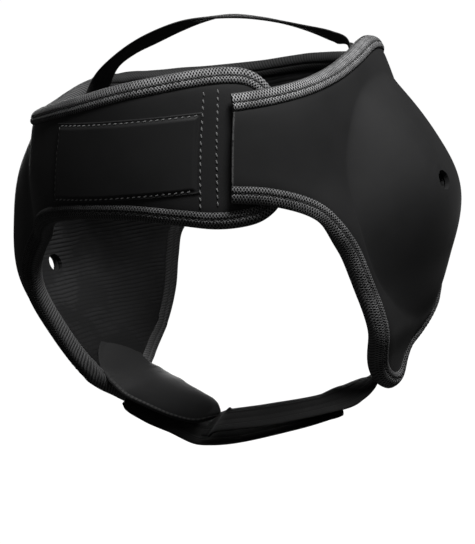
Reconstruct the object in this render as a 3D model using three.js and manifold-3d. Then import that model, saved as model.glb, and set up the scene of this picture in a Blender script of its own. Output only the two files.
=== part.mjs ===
// Grappling headgear: soft ear cups on a padded band, a crown strap and a chin strap.
// Millimetres, +Z up. The face looks along -Y and +X is the right-hand side of a viewer in front of it.
// The origin is the centre of the head ring, halfway up the forehead band.
// A turn is measured round Z in degrees: 0 is the forehead, 90 is the +X ear, 180 is the nape.
import * as THREE from 'three';
import { mergeVertices } from 'three/addons/utils/BufferGeometryUtils.js';
import Module from 'manifold-3d';

// Head ring
const RING_HALF_WIDTH = 93;
const RING_FRONT = 104;
const RING_BACK = 100;
const BAND_RISE = 48;
const EAR_DROP = 140;

// Walls
const SHELL_WALL = 3;
const LINING_WALL = 5.5;
const CLEARANCE = 0.3;
const BINDING_WIDTH = 7.5;
const BINDING_BULGE = 1.1;
const BINDING_GAP = 0.7;
const RAW_END_WALL = 3.4;

// Ear cups
const CUPS = {
  left: { depth: 27.5, front: 58.5, back: 84.5, rise: 86, fall: 70.5, centreY: -12, centreZ: -36 },
  right: { depth: 24.5, front: 58, back: 68, rise: 60, fall: 66, centreY: 10, centreZ: -34.5 },
};
const CUP_FULLNESS = 2.3;
const EAR_HOLE = 10;
const EAR_HOLE_Y = 3;
const EAR_HOLE_Z = { left: -45, right: -32 };
const EAR_HOLE_SIDES = 16;

// Forehead closure
const END_LIFT = 4.6;
const TAB_SINK = 1.6;
const LIFT_FULL_TURN = 51;
const LIFT_FADE_TURN = 80;
const SINK_START_TURN = 0;
const SINK_FULL_TURN = 28;
const BACK_SEAM_TURN = 171.5;
const LINING_START_TURN = 54;
const PATCH_WALL = 1;

// Straps
const CROWN_WIDTH = 25;
const CROWN_WALL = 1.6;
const CHIN_WIDTH = 20;
const CHIN_WALL = 2;
const CHIN_PAD_WIDTH = 46;
const CHIN_PAD_WALL = 4;

// How finely each surface is cut
const LEFT_COLUMNS = 48;
const RIGHT_COLUMNS = 34;
const PANEL_ROWS = 11;
const STRAP_STEPS = 19;
const PLATE_COLUMNS = 7;
const PLATE_ROWS = 3;

const DEGREE = Math.PI / 180;
const NUDGE = 0.2;

// Plan of the head at each height: height is a share of EAR_DROP, the rest are shares of the ring's sizes.
// Side is how far the plan's middle stands towards +X, as a share of RING_HALF_WIDTH.
const HEAD_ROWS = [
  { height: -1.05, width: 0.90, front: 0.92, back: 0.92, square: 2.3, side: -0.01 },
  { height: -0.84, width: 0.91, front: 0.96, back: 0.94, square: 2.4, side: -0.013 },
  { height: -0.70, width: 1.01, front: 0.98, back: 0.96, square: 2.45, side: 0 },
  { height: -0.50, width: 1.03, front: 1.00, back: 0.98, square: 2.5, side: 0 },
  { height: -0.30, width: 1.05, front: 1.00, back: 1.00, square: 2.5, side: 0 },
  { height: -0.10, width: 1.03, front: 1.00, back: 1.01, square: 2.3, side: 0 },
  { height: 0.10, width: 1.02, front: 1.00, back: 1.01, square: 2.15, side: 0.012 },
  { height: 0.30, width: 0.94, front: 0.98, back: 0.98, square: 2.15, side: 0.042 },
  { height: 0.45, width: 0.91, front: 0.95, back: 0.95, square: 2.1, side: 0.048 },
];

// Seam edges of each shell, one row for a section that runs from its top edge to its foot edge.
// Rises are shares of BAND_RISE, drops are shares of EAR_DROP, turns are degrees.
const RIGHT_ROWS = [
  { topTurn: 33.5, topRise: 0.60, footTurn: 30, drop: 0.053 },
  { topTurn: 42, topRise: 0.57, footTurn: 38.5, drop: 0.087 },
  { topTurn: 51, topRise: 0.56, footTurn: 47, drop: 0.143 },
  { topTurn: 58, topRise: 0.57, footTurn: 52.5, drop: 0.20 },
  { topTurn: 64, topRise: 0.59, footTurn: 56.5, drop: 0.275 },
  { topTurn: 70, topRise: 0.615, footTurn: 60, drop: 0.36 },
  { topTurn: 75, topRise: 0.64, footTurn: 62.5, drop: 0.45 },
  { topTurn: 80, topRise: 0.67, footTurn: 65, drop: 0.55 },
  { topTurn: 84, topRise: 0.695, footTurn: 67, drop: 0.655 },
  { topTurn: 88, topRise: 0.72, footTurn: 69.5, drop: 0.765 },
  { topTurn: 92, topRise: 0.745, footTurn: 74, drop: 0.848 },
  { topTurn: 96, topRise: 0.77, footTurn: 79, drop: 0.888 },
  { topTurn: 100, topRise: 0.79, footTurn: 84, drop: 0.884 },
  { topTurn: 104, topRise: 0.8, footTurn: 88, drop: 0.842 },
  { topTurn: 108, topRise: 0.8, footTurn: 92, drop: 0.8 },
  { topTurn: 112, topRise: 0.79, footTurn: 99, drop: 0.775 },
  { topTurn: 116, topRise: 0.775, footTurn: 106, drop: 0.74 },
  { topTurn: 120, topRise: 0.75, footTurn: 113, drop: 0.68 },
  { topTurn: 124, topRise: 0.72, footTurn: 119, drop: 0.60 },
  { topTurn: 128, topRise: 0.69, footTurn: 124, drop: 0.50 },
  { topTurn: 132, topRise: 0.66, footTurn: 128, drop: 0.39 },
  { topTurn: 137, topRise: 0.63, footTurn: 132.5, drop: 0.28 },
  { topTurn: 143, topRise: 0.6, footTurn: 140, drop: 0.195 },
  { topTurn: 151, topRise: 0.585, footTurn: 150, drop: 0.16 },
  { topTurn: 161, topRise: 0.61, footTurn: 161, drop: 0.15 },
  { topTurn: BACK_SEAM_TURN, topRise: 0.642, footTurn: BACK_SEAM_TURN, drop: 0.15 },
];
const LEFT_ROWS = [
  { topTurn: 44.5, topRise: 0.42, footTurn: 43, drop: 0.035 },
  { topTurn: 43.5, topRise: 0.64, footTurn: 41, drop: 0.095 },
  { topTurn: 40, topRise: 0.80, footTurn: 37, drop: 0.13 },
  { topTurn: 34, topRise: 0.88, footTurn: 32, drop: 0.14 },
  { topTurn: 25, topRise: 0.92, footTurn: 24, drop: 0.13 },
  { topTurn: 14, topRise: 0.93, footTurn: 14, drop: 0.095 },
  { topTurn: 2, topRise: 0.925, footTurn: 2, drop: 0.055 },
  { topTurn: -11, topRise: 0.89, footTurn: -11, drop: 0.03 },
  { topTurn: -23, topRise: 0.86, footTurn: -23, drop: 0.02 },
  { topTurn: -34, topRise: 0.83, footTurn: -33, drop: 0.03 },
  { topTurn: -44, topRise: 0.81, footTurn: -42, drop: 0.06 },
  { topTurn: -53, topRise: 0.80, footTurn: -50.5, drop: 0.12 },
  { topTurn: -60, topRise: 0.80, footTurn: -57, drop: 0.21 },
  { topTurn: -66, topRise: 0.81, footTurn: -60.5, drop: 0.31 },
  { topTurn: -72, topRise: 0.825, footTurn: -62.5, drop: 0.41 },
  { topTurn: -77, topRise: 0.84, footTurn: -64, drop: 0.51 },
  { topTurn: -82, topRise: 0.86, footTurn: -65.5, drop: 0.61 },
  { topTurn: -87, topRise: 0.89, footTurn: -67, drop: 0.705 },
  { topTurn: -91, topRise: 0.91, footTurn: -71, drop: 0.77 },
  { topTurn: -95, topRise: 0.93, footTurn: -76.5, drop: 0.815 },
  { topTurn: -99, topRise: 0.94, footTurn: -82, drop: 0.85 },
  { topTurn: -103, topRise: 0.94, footTurn: -87.5, drop: 0.866 },
  { topTurn: -107, topRise: 0.935, footTurn: -92, drop: 0.84 },
  { topTurn: -111, topRise: 0.925, footTurn: -97, drop: 0.79 },
  { topTurn: -115, topRise: 0.905, footTurn: -103.5, drop: 0.755 },
  { topTurn: -119, topRise: 0.9, footTurn: -111, drop: 0.70 },
  { topTurn: -123, topRise: 0.885, footTurn: -118, drop: 0.625 },
  { topTurn: -127, topRise: 0.862, footTurn: -123.5, drop: 0.53 },
  { topTurn: -131, topRise: 0.843, footTurn: -127.5, drop: 0.42 },
  { topTurn: -136, topRise: 0.82, footTurn: -131.5, drop: 0.30 },
  { topTurn: -142, topRise: 0.795, footTurn: -139, drop: 0.205 },
  { topTurn: -150, topRise: 0.75, footTurn: -149, drop: 0.16 },
  { topTurn: -160, topRise: 0.705, footTurn: -160, drop: 0.15 },
  { topTurn: -171, topRise: 0.665, footTurn: -171, drop: 0.15 },
  { topTurn: -180, topRise: 0.652, footTurn: -180, drop: 0.15 },
  { topTurn: BACK_SEAM_TURN - 360, topRise: 0.642, footTurn: BACK_SEAM_TURN - 360, drop: 0.15 },
];

// Middle line of each strap: x is a share of RING_HALF_WIDTH, y of RING_FRONT and z of EAR_DROP.
// Lean is how far the strap's upper edge tips towards the back, and wide is a share of its width.
const CROWN_ROWS = [
  { x: -0.935, y: 0.08, z: 0.12, lean: -90, wide: 1 },
  { x: -0.88, y: 0.08, z: 0.18, lean: -90, wide: 1 },
  { x: -0.8, y: 0.08, z: 0.25, lean: -90, wide: 1 },
  { x: -0.735, y: 0.08, z: 0.325, lean: -90, wide: 1 },
  { x: -0.65, y: 0.08, z: 0.386, lean: -91, wide: 1 },
  { x: -0.52, y: 0.08, z: 0.429, lean: -87, wide: 1 },
  { x: -0.36, y: 0.08, z: 0.462, lean: -81, wide: 1 },
  { x: -0.19, y: 0.08, z: 0.488, lean: -80.5, wide: 1 },
  { x: -0.02, y: 0.08, z: 0.503, lean: -82.5, wide: 1 },
  { x: 0.15, y: 0.08, z: 0.5, lean: -86.5, wide: 1 },
  { x: 0.33, y: 0.08, z: 0.4755, lean: -83, wide: 1 },
  { x: 0.51, y: 0.08, z: 0.4365, lean: -80, wide: 1 },
  { x: 0.69, y: 0.08, z: 0.384, lean: -77, wide: 1 },
  { x: 0.8, y: 0.08, z: 0.3445, lean: -77, wide: 1 },
  { x: 0.853, y: 0.08, z: 0.295, lean: -84, wide: 1 },
  { x: 0.872, y: 0.08, z: 0.23, lean: -90, wide: 1 },
  { x: 0.885, y: 0.08, z: 0.165, lean: -90, wide: 1 },
];
const CHIN_LEFT_ROWS = [
  { x: -0.715, y: -0.195, z: -0.862, lean: 84, wide: 0.9 },
  { x: -0.751, y: -0.212, z: -0.879, lean: 76, wide: 1 },
  { x: -0.619, y: -0.25, z: -0.919, lean: 72, wide: 1 },
  { x: -0.448, y: -0.308, z: -0.952, lean: 71, wide: 1 },
  { x: -0.286, y: -0.365, z: -0.984, lean: 70, wide: 1 },
  { x: -0.112, y: -0.442, z: -0.99, lean: 70, wide: 1 },
  { x: 0.083, y: -0.457, z: -0.987, lean: 70, wide: 1 },
  { x: 0.366, y: -0.413, z: -0.973, lean: 70, wide: 0.92 },
  { x: 0.535, y: -0.346, z: -0.971, lean: 70, wide: 0.6 },
  { x: 0.598, y: -0.308, z: -0.982, lean: 70, wide: 0.2 },
];
const CHIN_RIGHT_ROWS = [
  { x: 0.735, y: -0.165, z: -0.845, lean: 75, wide: 1 },
  { x: 0.722, y: -0.195, z: -0.893, lean: 70, wide: 1 },
  { x: 0.66, y: -0.279, z: -0.92, lean: 70, wide: 1 },
  { x: 0.546, y: -0.375, z: -0.93, lean: 73, wide: 1 },
  { x: 0.371, y: -0.433, z: -0.934, lean: 72, wide: 1 },
  { x: 0.18, y: -0.481, z: -0.933, lean: 71, wide: 1 },
  { x: -0.024, y: -0.481, z: -0.936, lean: 70, wide: 0.9 },
];
const CHIN_PAD_ROWS = [
  { x: -0.806, y: -0.11, z: -0.745, lean: 93, wide: 0.93 },
  { x: -0.758, y: -0.132, z: -0.785, lean: 91, wide: 0.89 },
  { x: -0.7, y: -0.168, z: -0.813, lean: 88, wide: 0.81 },
  { x: -0.554, y: -0.207, z: -0.85, lean: 81, wide: 0.66 },
  { x: -0.4, y: -0.257, z: -0.891, lean: 72, wide: 0.53 },
  { x: -0.28, y: -0.29, z: -0.9185, lean: 67, wide: 0.42 },
  { x: -0.205, y: -0.302, z: -0.93, lean: 66, wide: 0.3 },
  { x: -0.165, y: -0.306, z: -0.935, lean: 66, wide: 0.12 },
];

// Finishes
const FINISH = {
  shell: { color: 0x151617, roughness: 0.72, metalness: 0 },
  lining: { color: 0x232428, roughness: 0.9, metalness: 0 },
  binding: { color: 0x1c1d1f, roughness: 0.85, metalness: 0 },
  strap: { color: 0x121213, roughness: 0.8, metalness: 0 },
};

// A smooth step from 0 at the first value to 1 at the second.
function ease(from, to, value) {
  const share = Math.min(Math.max((value - from) / (to - from), 0), 1);
  return share * share * (3 - 2 * share);
}

// Value of a table's column at a place between its rows, on a smooth curve through them.
function between(rows, key, place) {
  const last = rows.length - 1;
  const index = Math.min(Math.floor(place), last - 1);
  const share = place - index;
  const before = rows[Math.max(index - 1, 0)][key];
  const start = rows[index][key];
  const end = rows[index + 1][key];
  const after = rows[Math.min(index + 2, last)][key];
  const startSlope = (end - before) / 2;
  const endSlope = (after - start) / 2;
  const square = share * share;
  const cube = square * share;
  return start * (2 * cube - 3 * square + 1) + startSlope * (cube - 2 * square + share)
    + end * (3 * square - 2 * cube) + endSlope * (cube - square);
}

// Plan sizes of the head at one height.
function headPlan(height) {
  const share = height / EAR_DROP;
  const last = HEAD_ROWS.length - 1;
  let index = 0;
  while (index < last - 1 && share > HEAD_ROWS[index + 1].height) index += 1;
  const low = HEAD_ROWS[index].height;
  const high = HEAD_ROWS[index + 1].height;
  const place = index + Math.min(Math.max((share - low) / (high - low), 0), 1);
  return {
    width: between(HEAD_ROWS, 'width', place) * RING_HALF_WIDTH,
    front: between(HEAD_ROWS, 'front', place) * RING_FRONT,
    back: between(HEAD_ROWS, 'back', place) * RING_BACK,
    square: between(HEAD_ROWS, 'square', place),
    side: between(HEAD_ROWS, 'side', place) * RING_HALF_WIDTH,
  };
}

// How far an ear cup stands out at a place on the side of the head.
function cupSwell(cup, y, z) {
  const along = y - cup.centreY;
  const up = z - cup.centreZ;
  const alongShare = along / (along < 0 ? cup.front : cup.back);
  const upShare = up / (up > 0 ? cup.rise : cup.fall);
  const reach = Math.abs(alongShare) ** CUP_FULLNESS + Math.abs(upShare) ** 2;
  return reach < 1 ? cup.depth * (1 - reach) ** 1.4 : 0;
}

// The closure's offset: the right end is lifted over the tab, and the tab sinks under it.
function closureOffset(side, turn) {
  if (side === 'right') return END_LIFT * (1 - ease(LIFT_FULL_TURN, LIFT_FADE_TURN, turn));
  return turn > SINK_START_TURN ? -TAB_SINK * ease(SINK_START_TURN, SINK_FULL_TURN, turn) : 0;
}

// A point on the outer face of the padded wall.
function wallPoint(turn, height) {
  const plan = headPlan(height);
  const sine = Math.sin(turn * DEGREE);
  const cosine = Math.cos(turn * DEGREE);
  const depth = cosine > 0 ? plan.front : plan.back;
  const sum = Math.abs(sine / plan.width) ** plan.square + Math.abs(cosine / depth) ** plan.square;
  const radius = sum ** (-1 / plan.square);
  const x = radius * sine;
  const y = -radius * cosine;
  const swell = x > 0 ? cupSwell(CUPS.right, y, height) : -cupSwell(CUPS.left, y, height);
  return new THREE.Vector3(x + plan.side + swell, y, height);
}

function wallNormal(turn, height) {
  const round = wallPoint(turn + NUDGE, height).sub(wallPoint(turn - NUDGE, height));
  const up = wallPoint(turn, height + NUDGE).sub(wallPoint(turn, height - NUDGE));
  return round.cross(up).normalize();
}

// A point at a depth under the wall's outer face, with the closure's offset.
function layerPoint(side, turn, height, depth) {
  const out = closureOffset(side, turn) - depth;
  return wallPoint(turn, height).addScaledVector(wallNormal(turn, height), out);
}

// Turn and height at a place across a panel: 0 is its top edge and 1 is its foot edge.
function panelPlace(rows, place, share) {
  const topTurn = between(rows, 'topTurn', place);
  const footTurn = between(rows, 'footTurn', place);
  const top = between(rows, 'topRise', place) * BAND_RISE;
  const foot = -between(rows, 'drop', place) * EAR_DROP;
  return { turn: topTurn + (footTurn - topTurn) * share, height: top + (foot - top) * share };
}

// A closed solid between two matching grids of points, both given as rows of columns.
// Every quad is split along the shorter diagonal of the guide grid, so the layers of a panel stay parallel.
function slab(outer, inner, guide = outer) {
  const columns = outer[0].length;
  const rows = outer.length;
  const points = [...outer.flat(), ...inner.flat()];
  const faces = [];
  const at = (layer, row, column) => layer * rows * columns + row * columns + column;
  const quad = (a, b, c, d, across = true) => {
    faces.push(...(across ? [a, b, c, a, c, d] : [a, b, d, b, c, d]));
  };
  for (let row = 0; row < rows - 1; row += 1) {
    for (let column = 0; column < columns - 1; column += 1) {
      const falling = guide[row][column].distanceTo(guide[row + 1][column + 1])
        <= guide[row][column + 1].distanceTo(guide[row + 1][column]);
      quad(at(0, row, column), at(0, row + 1, column), at(0, row + 1, column + 1), at(0, row, column + 1), falling);
      quad(at(1, row, column), at(1, row, column + 1), at(1, row + 1, column + 1), at(1, row + 1, column), falling);
    }
    quad(at(0, row, 0), at(1, row, 0), at(1, row + 1, 0), at(0, row + 1, 0));
    const end = columns - 1;
    quad(at(0, row, end), at(0, row + 1, end), at(1, row + 1, end), at(1, row, end));
  }
  for (let column = 0; column < columns - 1; column += 1) {
    quad(at(0, 0, column), at(0, 0, column + 1), at(1, 0, column + 1), at(1, 0, column));
    const end = rows - 1;
    quad(at(0, end, column), at(1, end, column), at(1, end, column + 1), at(0, end, column + 1));
  }
  return solidFrom(points, faces);
}

// A closed solid through a row of section loops, each with the same number of points.
function loft(loops) {
  const sides = loops[0].length;
  const points = loops.flat();
  const faces = [];
  for (let step = 0; step < loops.length - 1; step += 1) {
    for (let side = 0; side < sides; side += 1) {
      const next = (side + 1) % sides;
      const a = step * sides + side;
      const b = step * sides + next;
      faces.push(a, b, b + sides, a, b + sides, a + sides);
    }
  }
  const last = (loops.length - 1) * sides;
  for (let side = 1; side < sides - 1; side += 1) {
    faces.push(0, side + 1, side, last, last + side, last + side + 1);
  }
  return solidFrom(points, faces);
}

// Geometry from points and faces, turned so that its faces point out.
function solidFrom(points, faces) {
  let volume = 0;
  for (let i = 0; i < faces.length; i += 3) {
    const [a, b, c] = [points[faces[i]], points[faces[i + 1]], points[faces[i + 2]]];
    volume += a.dot(b.clone().cross(c));
  }
  if (volume < 0) {
    for (let i = 0; i < faces.length; i += 3) {
      [faces[i + 1], faces[i + 2]] = [faces[i + 2], faces[i + 1]];
    }
  }
  const geometry = new THREE.BufferGeometry();
  const values = points.flatMap((point) => point.toArray());
  geometry.setAttribute('position', new THREE.Float32BufferAttribute(values, 3));
  geometry.setIndex(faces);
  return geometry;
}

// Panels: one function for shells and linings.
function panel(side, rows, columns, depths, start = 0) {
  const last = rows.length - 1;
  const layers = [...depths, 0].map((depth) => {
    const grid = [];
    for (let row = 0; row <= PANEL_ROWS; row += 1) {
      const line = [];
      for (let column = 0; column <= columns; column += 1) {
        const place = start + (last - start) * (column / columns);
        const at = panelPlace(rows, Math.min(place, last), row / PANEL_ROWS);
        line.push(layerPoint(side, at.turn, at.height, depth));
      }
      grid.push(line);
    }
    return grid;
  });
  return slab(...layers);
}

// Edge stations for a binding: a point on the seam with the directions out of the wall and off its edge.
function edgeStations(side, rows, places) {
  const spots = places.map(({ place, share }) => panelPlace(rows, place, share));
  return spots.map((spot, index) => {
    const before = spots[Math.max(index - 1, 0)];
    const after = spots[Math.min(index + 1, spots.length - 1)];
    const point = layerPoint(side, spot.turn, spot.height, 0);
    const normal = wallNormal(spot.turn, spot.height);
    const run = layerPoint(side, after.turn, after.height, 0);
    run.sub(layerPoint(side, before.turn, before.height, 0)).normalize();
    const off = normal.clone().cross(run).normalize();
    return { point, normal, off, turn: spot.turn };
  });
}

// Binding: a tape folded over the edge, from one face of the wall round to the other.
function binding(stations, wallDepth) {
  const loops = stations.map((station) => {
    const depth = wallDepth(station.turn);
    const section = [
      [BINDING_GAP, 0],
      [BINDING_WIDTH * 0.35, BINDING_BULGE],
      [BINDING_WIDTH * 0.8, BINDING_BULGE * 0.4],
      [BINDING_WIDTH, -depth / 2],
      [BINDING_WIDTH * 0.8, -depth - BINDING_BULGE * 0.2],
      [BINDING_GAP, -depth],
    ];
    return section.map(([out, proud]) => station.point.clone()
      .addScaledVector(station.off, out)
      .addScaledVector(station.normal, proud));
  });
  return loft(loops);
}

// Places along the top or foot edge of a panel, and down its front end.
function alongEdge(rows, columns, share, from = 0) {
  const last = rows.length - 1;
  return Array.from({ length: columns + 1 - from }, (_, index) => (
    { place: last * ((index + from) / columns), share }));
}

// Ribbon: a strap or pad swept along the middle line that its table gives.
function ribbon(rows, width, wall, crown = 0) {
  const last = rows.length - 1;
  const middle = (place) => new THREE.Vector3(
    between(rows, 'x', place) * RING_HALF_WIDTH,
    between(rows, 'y', place) * RING_FRONT,
    between(rows, 'z', place) * EAR_DROP,
  );
  const loops = [];
  for (let step = 0; step <= STRAP_STEPS; step += 1) {
    const place = Math.min(last * (step / STRAP_STEPS), last);
    const ahead = middle(Math.min(place + 0.05, last));
    const run = ahead.sub(middle(Math.max(place - 0.05, 0))).normalize();
    const lean = between(rows, 'lean', place) * DEGREE;
    const across = new THREE.Vector3(0, Math.sin(lean), Math.cos(lean));
    across.addScaledVector(run, -across.dot(run)).normalize();
    const face = run.clone().cross(across);
    const half = between(rows, 'wide', place) * width / 2;
    const thick = wall / 2;
    const section = [
      [-half, -thick * 0.6], [-half * 0.8, -thick], [half * 0.8, -thick], [half, -thick * 0.6],
      [half, thick * 0.6], [half * 0.8, thick], [0, thick + crown], [-half * 0.8, thick], [-half, thick * 0.6],
    ];
    loops.push(section.map(([out, proud]) => middle(place)
      .addScaledVector(across, out)
      .addScaledVector(face, proud)));
  }
  return loft(loops);
}

const wasm = await Module();
wasm.setup();

// Cut one closed geometry out of another.
function cut(body, tool) {
  const [solid, cutter] = [body, tool].map((geometry) => {
    const bare = geometry.clone();
    bare.deleteAttribute('normal');
    bare.deleteAttribute('uv');
    const merged = mergeVertices(bare, 1e-4);
    return new wasm.Manifold(new wasm.Mesh({
      numProp: 3,
      vertProperties: new Float32Array(merged.attributes.position.array),
      triVerts: new Uint32Array(merged.index.array),
    }));
  });
  const mesh = solid.subtract(cutter).getMesh();
  const geometry = new THREE.BufferGeometry();
  geometry.setAttribute('position', new THREE.BufferAttribute(mesh.vertProperties, 3));
  geometry.setIndex(new THREE.BufferAttribute(mesh.triVerts, 1));
  return geometry;
}

// Ear hole: a round punch along X through one cup's wall.
function earHolePunch(side) {
  const length = RING_HALF_WIDTH;
  const punch = new THREE.CylinderGeometry(EAR_HOLE / 2, EAR_HOLE / 2, length, EAR_HOLE_SIDES);
  punch.rotateZ(Math.PI / 2);
  const sign = side === 'right' ? 1 : -1;
  punch.translate(sign * (RING_HALF_WIDTH + CUPS[side].depth), EAR_HOLE_Y, EAR_HOLE_Z[side]);
  return punch;
}

const liningTop = SHELL_WALL + CLEARANCE;
const stack = liningTop + LINING_WALL;

function leftShell() {
  return cut(panel('left', LEFT_ROWS, LEFT_COLUMNS, [0, SHELL_WALL]), earHolePunch('left'));
}

function rightShell() {
  return cut(panel('right', RIGHT_ROWS, RIGHT_COLUMNS, [0, SHELL_WALL]), earHolePunch('right'));
}

function leftLining() {
  const body = panel('left', LEFT_ROWS, LEFT_COLUMNS, [liningTop, stack]);
  return cut(body, earHolePunch('left'));
}

// The right lining starts past the tab's end, at the first place whose edges both lie beyond it.
function rightLining() {
  const startColumn = Array.from({ length: RIGHT_COLUMNS }, (_, column) => column)
    .find((column) => panelPlace(RIGHT_ROWS, rightPlace(column), 1).turn > LINING_START_TURN);
  const columns = RIGHT_COLUMNS - startColumn;
  const body = panel('right', RIGHT_ROWS, columns, [liningTop, stack], rightPlace(startColumn));
  return cut(body, earHolePunch('right'));
}

function rightPlace(column) {
  return (RIGHT_ROWS.length - 1) * (column / RIGHT_COLUMNS);
}

// The left binding is one tape: back seam, top edge, round the tab's end, foot edge, back seam.
function leftBinding() {
  const top = alongEdge(LEFT_ROWS, LEFT_COLUMNS, 0).reverse();
  const end = [0.3, 0.7].map((share) => ({ place: 0, share }));
  const foot = alongEdge(LEFT_ROWS, LEFT_COLUMNS, 1);
  return binding(edgeStations('left', LEFT_ROWS, [...top, ...end, ...foot]), () => stack);
}

// The right bindings are thin over the tab and full where the lining is under them.
function rightDepth(turn) {
  return RAW_END_WALL + (stack - RAW_END_WALL) * ease(LIFT_FULL_TURN + 1, LIFT_FULL_TURN + 8, turn);
}

function rightTopBinding() {
  const top = alongEdge(RIGHT_ROWS, RIGHT_COLUMNS, 0);
  return binding(edgeStations('right', RIGHT_ROWS, top), rightDepth);
}

function rightFootBinding() {
  const foot = alongEdge(RIGHT_ROWS, RIGHT_COLUMNS, 1).reverse();
  return binding(edgeStations('right', RIGHT_ROWS, foot), rightDepth);
}

// Brow patch: a thin plate sewn on the tab. Rows are its top and foot edges, with turns and rises at both ends,
// the rises as shares of BAND_RISE.
const PATCH = [
  { leftTurn: -20, leftRise: 0.8, rightTurn: 25.5, rightRise: 0.64 },
  { leftTurn: -26, leftRise: 0, rightTurn: 21.5, rightRise: -0.15 },
];

function wallPlate(side, edges, outer, inner) {
  const mix = (a, b, share) => a + (b - a) * share;
  const layers = [outer, inner].map((depth) => Array.from({ length: PLATE_ROWS + 1 }, (_, row) => {
    const down = row / PLATE_ROWS;
    const [leftTurn, leftRise, rightTurn, rightRise] = ['leftTurn', 'leftRise', 'rightTurn', 'rightRise']
      .map((key) => mix(edges[0][key], edges[1][key], down));
    return Array.from({ length: PLATE_COLUMNS + 1 }, (__, column) => {
      const along = column / PLATE_COLUMNS;
      const height = mix(leftRise, rightRise, along) * BAND_RISE;
      return layerPoint(side, mix(leftTurn, rightTurn, along), height, depth);
    });
  }));
  return slab(layers[0], layers[1]);
}

function browPatch() {
  return wallPlate('left', PATCH, -CLEARANCE - PATCH_WALL, -CLEARANCE);
}

// Brow hook pad: fills the closure between the tab and the right end.
const HOOK = [
  { leftTurn: 35, leftRise: 0.52, rightTurn: 41, rightRise: 0.52 },
  { leftTurn: 34, leftRise: -0.02, rightTurn: 40, rightRise: -0.02 },
];

function browHookPad() {
  const gap = END_LIFT + TAB_SINK - SHELL_WALL;
  return wallPlate('left', HOOK, CLEARANCE - gap, -CLEARANCE);
}

const group = new THREE.Group();

function add(name, geometry, finish) {
  geometry.computeVertexNormals();
  const mesh = new THREE.Mesh(geometry, new THREE.MeshStandardMaterial(FINISH[finish]));
  mesh.name = name;
  group.add(mesh);
}

add('left_shell', leftShell(), 'shell');
add('right_shell', rightShell(), 'shell');
add('left_lining', leftLining(), 'lining');
add('right_lining', rightLining(), 'lining');
add('left_binding', leftBinding(), 'binding');
add('right_top_binding', rightTopBinding(), 'binding');
add('right_foot_binding', rightFootBinding(), 'binding');
add('brow_patch', browPatch(), 'shell');
add('brow_hook_pad', browHookPad(), 'strap');
add('crown_strap', ribbon(CROWN_ROWS, CROWN_WIDTH, CROWN_WALL), 'strap');
add('chin_strap_left', ribbon(CHIN_LEFT_ROWS, CHIN_WIDTH, CHIN_WALL), 'strap');
add('chin_strap_right', ribbon(CHIN_RIGHT_ROWS, CHIN_WIDTH, CHIN_WALL), 'strap');
add('chin_pad', ribbon(CHIN_PAD_ROWS, CHIN_PAD_WIDTH, CHIN_PAD_WALL, 1), 'shell');

export default group;
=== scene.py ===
"""Grappling headgear: padded shells, ribbed linings, knitted bindings, a crown strap and a chin strap.

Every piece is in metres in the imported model's frame: +Z is up, the face looks along -Y, and the origin
is the centre of the head ring. A turn is measured round Z in degrees: 0 is the forehead, 90 is the +X ear.
"""
import math
import random
from collections import Counter

import bpy
import numpy as np
from mathutils import Matrix


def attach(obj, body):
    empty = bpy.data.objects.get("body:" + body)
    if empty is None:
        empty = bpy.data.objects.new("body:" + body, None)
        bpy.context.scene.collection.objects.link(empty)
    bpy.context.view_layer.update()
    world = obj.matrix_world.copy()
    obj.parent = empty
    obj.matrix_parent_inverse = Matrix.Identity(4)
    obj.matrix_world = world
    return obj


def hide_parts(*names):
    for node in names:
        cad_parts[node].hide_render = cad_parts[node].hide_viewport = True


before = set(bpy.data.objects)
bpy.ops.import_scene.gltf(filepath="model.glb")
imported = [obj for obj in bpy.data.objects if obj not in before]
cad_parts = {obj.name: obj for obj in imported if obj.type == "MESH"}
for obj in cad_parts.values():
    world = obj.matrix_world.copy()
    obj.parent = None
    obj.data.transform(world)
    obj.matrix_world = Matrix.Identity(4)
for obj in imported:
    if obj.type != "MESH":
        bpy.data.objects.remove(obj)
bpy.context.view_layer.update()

bl_info = {
    "name": "Grappling Headgear",
    "version": (1, 0, 0),
    "blender": (4, 5, 0),
    "location": "View3D > Sidebar > Headgear",
    "description": "Builds a padded grappling headgear in cloth, piece by piece",
    "category": "Object",
}

# Millimetres in a metre, and in a unit of the cloth maps
PER_METRE = 1000
PER_MAP_UNIT = 100

# Head ring and walls, in millimetres
RING_HALF_WIDTH = 93
RING_FRONT = 104
RING_BACK = 100
BAND_RISE = 48
EAR_DROP = 140
SHELL_WALL = 3
LINING_WALL = 5.5
CLEARANCE = 0.3
RAW_END_WALL = 3.4
LINING_TOP = SHELL_WALL + CLEARANCE
STACK = LINING_TOP + LINING_WALL

# Ear cups
CUPS = {
    "left": {"depth": 27.5, "front": 58.5, "back": 84.5, "rise": 86, "fall": 70.5, "y": -12, "z": -36},
    "right": {"depth": 24.5, "front": 58, "back": 68, "rise": 60, "fall": 66, "y": 10, "z": -34.5},
}
CUP_FULLNESS = 2.3
CUP_ROUNDNESS = 1.4
EAR_HOLE = 10
EAR_HOLE_Y = 3
EAR_HOLE_Z = {"left": -45, "right": -32}
# Shares of the ear hole's radius: cut out, searched for rim points, drawn in, drawn from, and kept clear
HOLE_CUT, HOLE_SEARCH, HOLE_DRAW, HOLE_START, HOLE_CLEAR = 0.86, 1.6, 2, 0.8, 1.08
# Distance from the middle, in metres, past which a point is at an ear
EAR_SIDE = 0.05

# Forehead closure
END_LIFT = 4.6
TAB_SINK = 1.6
LIFT_FULL_TURN = 51
LIFT_FADE_TURN = 80
SINK_FULL_TURN = 28
BACK_SEAM_TURN = 171.5
LINING_START_TURN = 54

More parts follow.
